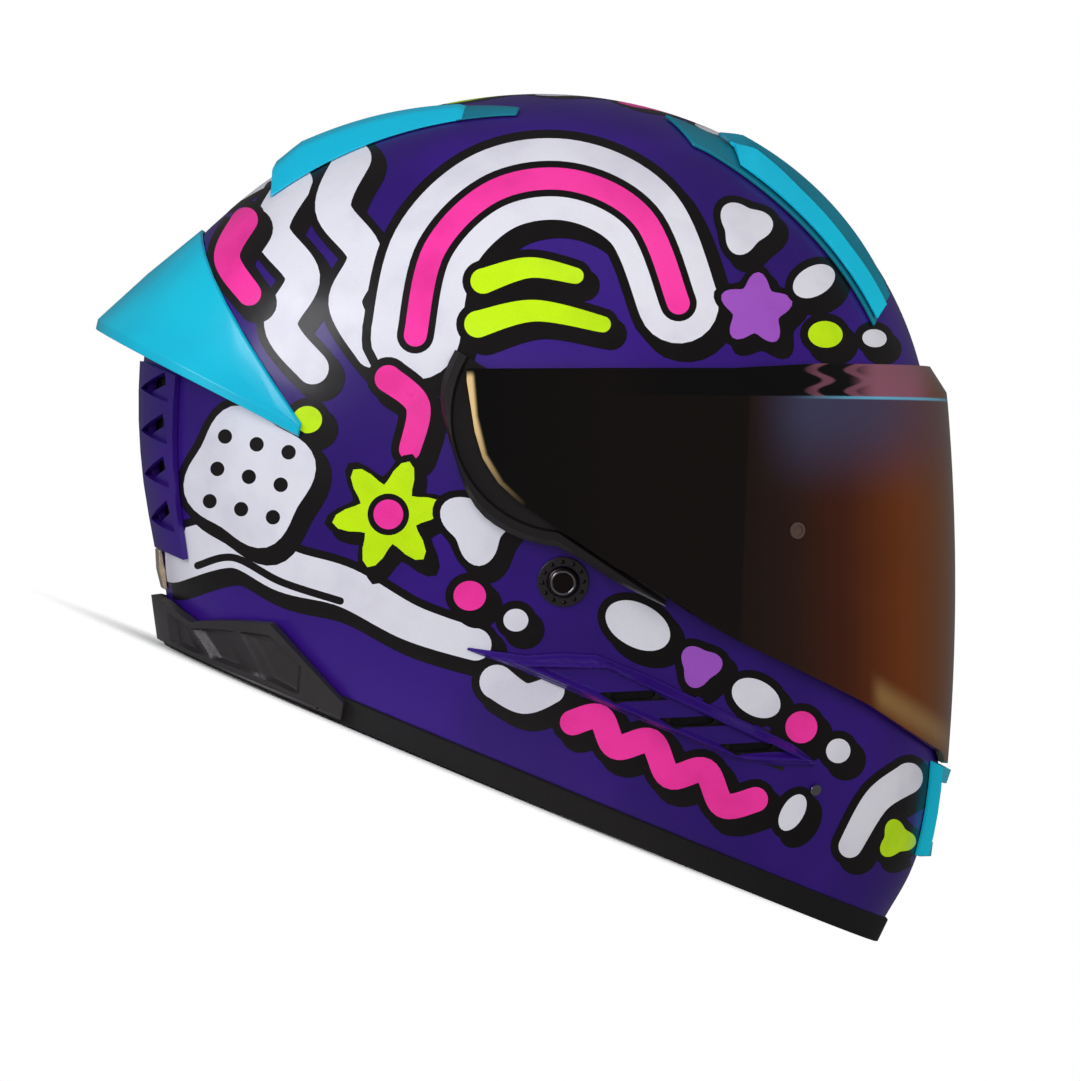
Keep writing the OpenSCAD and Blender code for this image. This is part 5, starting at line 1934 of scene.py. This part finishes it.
@dataclass(frozen=True)
class Stuffing:
    """Foam under fabric: a pad's form, swelled by cloth simulation."""

    node: str
    voxel: float = 4.5
    shrink: float = 1.3
    cap: float = 3.4
    fill: float = 0.7
    pressure: float = 4.0
    frames: int = 20
    # Seams go where a face turns this far from the liner, as a cosine
    worn_side: float = 0.2

    def start(self) -> bpy.types.Object:
        """Copy the pad's node with even faces, a little smaller."""
        made = Bench.piece(self.node + "_form", Bench.merged(self.node))
        even = made.modifiers.new("even_faces", "REMESH")
        even.mode = "VOXEL"
        even.voxel_size = self.voxel * MM
        Bench.settle(made)
        bm = bmesh.new()
        bm.from_mesh(made.data)
        bmesh.ops.smooth_vert(
            bm, verts=bm.verts, factor=0.5, use_axis_x=True, use_axis_y=True, use_axis_z=True,
        )
        bm.normal_update()
        for vert in bm.verts:
            vert.co -= vert.normal * self.shrink * MM
        bm.to_mesh(made.data)
        bm.free()
        return made

    def swell(self, made: bpy.types.Object) -> None:
        """Blow the pad up, away from the liner behind it and no further than the cap."""
        before = [vert.co.copy() for vert in made.data.vertices]
        cloth = made.modifiers.new("swell", "CLOTH")
        cloth.settings.use_pressure = True
        cloth.settings.uniform_pressure_force = self.pressure
        cloth.settings.effector_weights.gravity = 0.0
        scene = bpy.context.scene
        for number in range(1, self.frames + 1):
            scene.frame_set(number)
        graph = bpy.context.evaluated_depsgraph_get()
        after = [vert.co.copy() for vert in made.evaluated_get(graph).data.vertices]
        made.modifiers.clear()
        scene.frame_set(1)
        for vert, old, new in zip(made.data.vertices, before, after):
            away = SHELL.outward(old / MM)
            step = new - old
            step -= away * max(step.dot(away), 0.0)
            vert.co = old + step * min(1.0, self.cap * MM / max(step.length, 1e-9))

    def sewn(self, made: bpy.types.Object, seams: Callable[[Vector], float]) -> None:
        """Sink the seams into the face that the wearer touches."""
        bm = bmesh.new()
        bm.from_mesh(made.data)
        bm.normal_update()
        for vert in bm.verts:
            away = SHELL.outward(vert.co / MM)
            if vert.normal.dot(away) < self.worn_side:
                vert.co += away * seams(vert.co / MM) * MM
        bm.to_mesh(made.data)
        bm.free()

    def make(self, seams: Callable[[Vector], float]) -> None:
        """Make the pad.

        Args:
            seams: how deep a seam is at a point, in millimetres.
        """
        made = self.start()
        self.swell(made)
        made.modifiers.new("even", "SMOOTH").iterations = 2
        fine = made.modifiers.new("fine", "SUBSURF")
        fine.levels = fine.render_levels = 1
        Bench.settle(made)
        self.sewn(made, seams)
        Bench.shade(made, 60)
        Bench.dress(made, FABRIC, self.node)


@dataclass(frozen=True)
class ChinCurtain:
    """The fabric under the chin: a crescent with a bound free edge."""

    form: ShellForm = SHELL
    span: float = 46.0
    narrow: float = 6.0
    widening: float = 40.0
    level: float = 6.3
    sag: float = 2.5
    gathers: int = 11
    gather_height: float = 0.35
    half_thickness: float = 0.8
    # Where the binding of the free edge starts, and how much thicker it is
    binding: float = 0.94
    binding_gain: float = 1.5
    # How far inside the shell the outer edge lies
    inset: float = 4.8
    columns: int = 96
    rows: int = 24
    # The piece of cloth that the crescent is cut from, in metres
    cut_from: tuple[float, float] = (0.056, 0.130)

    def at(self, lift: float) -> Callable[[float, float], Vector]:
        """Find the points this far from the middle of the cloth."""

        def point(u: float, v: float) -> Vector:
            """Find one point."""
            turn = lerp(-self.span, self.span, u)
            edge = self.form.skin(turn, self.form.foot, -self.inset)
            fullness = max(math.cos(math.radians(90 * turn / self.span)), 0.0) ** 0.7
            reach = v * (self.narrow + self.widening * fullness)
            heading = math.radians(turn)
            gather = self.gather_height * math.sin(2 * math.pi * self.gathers * u) * v
            z = self.level + self.sag * math.sin(math.pi * v) + gather
            z += lift * (self.binding_gain if v > self.binding else 1)
            return Vector((edge.x - reach * math.cos(heading), edge.y - reach * math.sin(heading), z))

        return point

    def make(self) -> None:
        """Make the curtain."""
        flat = Bench.panel(self.columns, self.rows, self.at(0))
        area = sum(f.calc_area() for f in flat.faces) * MM * MM
        flat.free()
        over, under = self.at(self.half_thickness), self.at(-self.half_thickness)
        made = Bench.piece("chin_curtain_form", Bench.slab(self.columns, self.rows, over, under))
        Bench.shade(made, 50)
        Bench.dress(made, FABRIC, "chin_curtain")


@dataclass
class Lining:
    """The foam liners and everything soft inside."""

    # Height of the seam across a cheek pad, by its place along the helmet
    cheek_seam: tuple[Spot, ...] = ((-40, 78), (0, 74), (50, 70), (95, 60))
    # Degrees from straight back, and millimetres from the middle
    roll_seams: tuple[float, ...] = (-26.0, 0.0, 26.0)
    crown_seams: tuple[float, ...] = (24.0, 58.0)

    def cheek(self, p: Vector) -> float:
        """Find the depth of the seam across a cheek pad."""
        return 2.2 * (1 - smooth(abs(p.z - along(self.cheek_seam, p.x)) / 4.5))

    def roll(self, p: Vector) -> float:
        """Find the depth of the neck roll's seams."""
        turn = math.degrees(math.atan2(p.y, -p.x - 12))
        return 1.6 * (1 - smooth(min(abs(turn - s) for s in self.roll_seams) / 2.6))

    def crown(self, p: Vector) -> float:
        """Find the depth of the crown pad's seams, which run from front to back."""
        near = min(abs(abs(p.y) - y) for y in self.crown_seams)
        return 1.2 * (1 - smooth(near / 3.5)) * smooth((p.z - 150) / 12)

    def make(self) -> None:
        """Make the liners and pads."""
        Bench.refined("impact_liner", FOAM, 0.0)
        Bench.refined("chin_bar_liner", FOAM, 0.5)
        Stuffing("crown_pad", 3.8, 0.5, 1.6).make(self.crown)
        for side in SIDES:
            Stuffing("cheek_pad_" + side).make(self.cheek)
        Stuffing("neck_roll", 3.6, 1.0, 2.2).make(self.roll)
        Bench.refined("cheek_pad_snaps", BLACK_PLASTIC)
        Bench.refined("breath_guard", RUBBER, 0.4)
        ChinCurtain().make()


@dataclass
class ChinStrap:
    """The strap, its rivets and the ratchet buckle."""

    anchor: Spot = (18.0, 80.5)
    dot_count: int = 12
    dot_circle: float = 7.7
    dot_radius: float = 0.8
    washer_height: float = 1.55
    ring_radius: float = 4.3
    ring_wire: float = 0.45
    head_height: float = 2.4

    @property
    def seat(self) -> Matrix:
        """Find where the right rivet sits on the shell."""
        middle = SHELL.side(*self.anchor)
        return facing(middle, SHELL.outward(middle))

    def dots(self) -> bmesh.types.BMesh:
        """Make the raised dots on the right rivet's washer."""
        bm = bmesh.new()
        for k in range(self.dot_count):
            angle = 2 * math.pi * k / self.dot_count
            across, up = self.dot_circle * math.cos(angle), self.dot_circle * math.sin(angle)
            place = self.seat @ Matrix.Translation((across, up, self.washer_height))
            bmesh.ops.create_icosphere(bm, subdivisions=2, radius=self.dot_radius, matrix=place)
        return bm

    def ring(self) -> bmesh.types.BMesh:
        """Make the polished ring on the right rivet's head."""
        bm = bmesh.new()
        upright = Matrix.Rotation(math.pi / 2, 4, "X")
        start = Matrix.Translation((self.ring_radius, 0, self.head_height)) @ upright
        bmesh.ops.create_circle(bm, segments=8, radius=self.ring_wire, matrix=start)
        bmesh.ops.spin(
            bm, geom=bm.edges[:], cent=(0, 0, 0), axis=(0, 0, 1), angle=2 * math.pi, steps=48,
            use_merge=True,
        )
        bmesh.ops.remove_doubles(bm, verts=bm.verts, dist=SAME_POINT)
        bmesh.ops.recalc_face_normals(bm, faces=bm.faces)
        bmesh.ops.transform(bm, matrix=self.seat, verts=bm.verts)
        return bm

    def make(self) -> None:
        """Make the strap and buckle."""
        for side in SIDES:
            Bench.refined("chin_strap_" + side, STRAP, 0.4)
        for node in ("strap_anchor_plates", "buckle_body", "buckle_lever_pin"):
            Bench.refined(node, STEEL, 0.3)
        Bench.refined("strap_rivets", GUNMETAL, 0.8)
        Bench.refined("strap_rivet_washers", BLACK_PLASTIC, 0.4)
        for name, bm, finish in (
            ("rivet_washer_dots", self.dots(), GUNMETAL),
            ("rivet_rings", self.ring(), STEEL),
        ):
            made = Bench.piece(name, Bench.both_sides(bm))
            Bench.shade(made, 60)
            Bench.dress(made, finish)
        Bench.refined("buckle_lever", RED, 0.3, body=Body.LEVER)
        Bench.refined("ratchet_tongue", BLACK_PLASTIC, 0.2)


# Camera, light and floor


@dataclass(frozen=True)
class Lamp:
    """A square soft lamp that faces the helmet."""

    name: str
    place: tuple[float, float, float]
    width: float
    power: float
    colour: Colour = (1.0, 1.0, 1.0)
    mirrored: bool = False

    def make(self, target: Vector) -> None:
        """Hang the lamp."""
        data = bpy.data.lights.new(self.name, "AREA")
        data.size = self.width
        data.energy = self.power
        data.color = self.colour
        made = bpy.data.objects.new(self.name, data)
        made.location = self.place
        made.rotation_mode = "QUATERNION"
        made.rotation_quaternion = (target - Vector(self.place)).to_track_quat("-Z", "Y")
        made.visible_glossy = self.mirrored
        bpy.context.scene.collection.objects.link(made)


@dataclass(frozen=True)
class Studio:
    """The photograph's camera, its lamps and a white floor."""

    aim: tuple[float, float, float] = (0.0043, 0.0, 0.091)
    ambient: float = 0.3
    mirrored_ambient: float = 0.1
    distance: float = 4.0
    view_width: float = 0.4104
    sensor: float = 36.0
    # Where the floor fades out, and the half sizes of its opening under the helmet
    floor_fade: Spot = (0.08, 0.175)
    hollow: Spot = (0.09, 0.07)
    # In millimetres
    floor_radius: float = 700.0
    floor_level: float = -0.6
    lamps: tuple[Lamp, ...] = (
        Lamp("overhead_lamp", (-0.2, -0.6, 1.7), 1.1, 5.5),
        Lamp("front_lamp", (1.6, -0.5, 0.9), 0.8, 8, (1.0, 0.93, 0.86)),
        Lamp("rear_lamp", (-1.6, -0.9, 0.2), 0.9, 13, (0.95, 0.95, 1.0), True),
        Lamp("under_lamp", (0.02, 0.0, -0.5), 0.25, 1.3),
        Lamp("camera_lamp", (-0.2, -2.2, 0.3), 1.5, 22),
        Lamp("left_lamp", (-0.2, 2.2, 0.3), 1.5, 20),
    )

    def camera(self) -> None:
        """Place the camera, rolled as the photograph is."""
        data = bpy.data.cameras.new("photo_camera")
        data.sensor_width = self.sensor
        data.lens = self.distance * self.sensor / self.view_width
        made = bpy.data.objects.new("photo_camera", data)
        c, s = math.cos(PITCH), math.sin(PITCH)
        place = Vector(self.aim) + Vector((0, -self.distance, 0))
        axes = Matrix(((c, -s, 0), (0, 0, -1), (s, c, 0))).to_4x4()
        made.matrix_world = Matrix.Translation(place) @ axes
        bpy.context.scene.collection.objects.link(made)
        bpy.context.scene.camera = made

    def world(self) -> None:
        """Show white behind the helmet and light it softly."""
        scene = bpy.context.scene
        scene.view_settings.view_transform = "Standard"
        world = bpy.data.worlds.new("studio")
        world.use_nodes = True
        scene.world = world
        tree = world.node_tree
        tree.nodes.clear()
        output = tree.nodes.new("ShaderNodeOutputWorld")
        back = tree.nodes.new("ShaderNodeBackground")
        path = tree.nodes.new("ShaderNodeLightPath")
        dim = tree.nodes.new("ShaderNodeMapRange")
        dim.inputs["To Min"].default_value = self.ambient
        dim.inputs["To Max"].default_value = self.mirrored_ambient
        share = tree.nodes.new("ShaderNodeMapRange")
        share.inputs["To Max"].default_value = 1.0
        tree.links.new(path.outputs["Is Glossy Ray"], dim.inputs["Value"])
        tree.links.new(dim.outputs[0], share.inputs["To Min"])
        tree.links.new(path.outputs["Is Camera Ray"], share.inputs["Value"])
        tree.links.new(share.outputs[0], back.inputs["Strength"])
        tree.links.new(back.outputs[0], output.inputs["Surface"])
        back.inputs["Color"].default_value = (1, 1, 1, 1)

    def floor(self) -> None:
        """Lay a pale floor that fades into the background."""
        bm = bmesh.new()
        bmesh.ops.create_circle(bm, cap_ends=True, segments=64, radius=self.floor_radius)
        bmesh.ops.translate(bm, vec=(0, 0, self.floor_level), verts=bm.verts)
        made = Bench.piece("studio_floor", bm)
        shader = Shader("studio_floor")
        x, y, _ = shader.axes()
        far = ((x * x + y * y) ** 0.5).step(*self.floor_fade)
        across, over = self.hollow
        under = 1.0 - ((x / across) ** 2.0 + (y / over) ** 2.0).step(0.8, 1.0)
        below = shader.node("ShaderNodeNewGeometry", output=BACKFACING)
        dust = shader.noise(30, 3)
        shader.paint(Base_Color=shader.mix(dust, rgb(246, 246, 246), rgb(240, 240, 240)), Roughness=0.9)
        solid = Socket(shader, shader.skin.outputs[0])
        clear = shader.node("ShaderNodeBsdfTransparent")
        faded = shader.node("ShaderNodeMixShader", [far + under + below, solid, clear])
        shader.tree.links.new(faded.output, shader.output.inputs["Surface"])
        made.data.materials.append(shader.material)

    def make(self) -> None:
        """Set the studio up."""
        self.camera()
        self.world()
        self.floor()
        for lamp in self.lamps:
            lamp.make(Vector(self.aim))


@dataclass
class Helmet:
    """The whole helmet."""

    studio: Studio = field(default_factory=Studio)
    parts: tuple[type, ...] = (
        OuterShell, VisorUnit, CrownVents, SideVents, RearAndChinVents, RimAndRear, Lining, ChinStrap,
    )

    def make(self) -> None:
        """Make the studio and every sub-assembly."""
        self.studio.make()
        for part in self.parts:
            part().make()
        log.info("pieces made")

    @staticmethod
    def write_size() -> None:
        """Bring the view layer up to date after the pieces were made."""
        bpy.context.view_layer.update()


def main() -> None:
    """Build the scene."""
    helmet = Helmet()
    helmet.make()
    helmet.write_size()


if __name__ == "__main__":
    main()
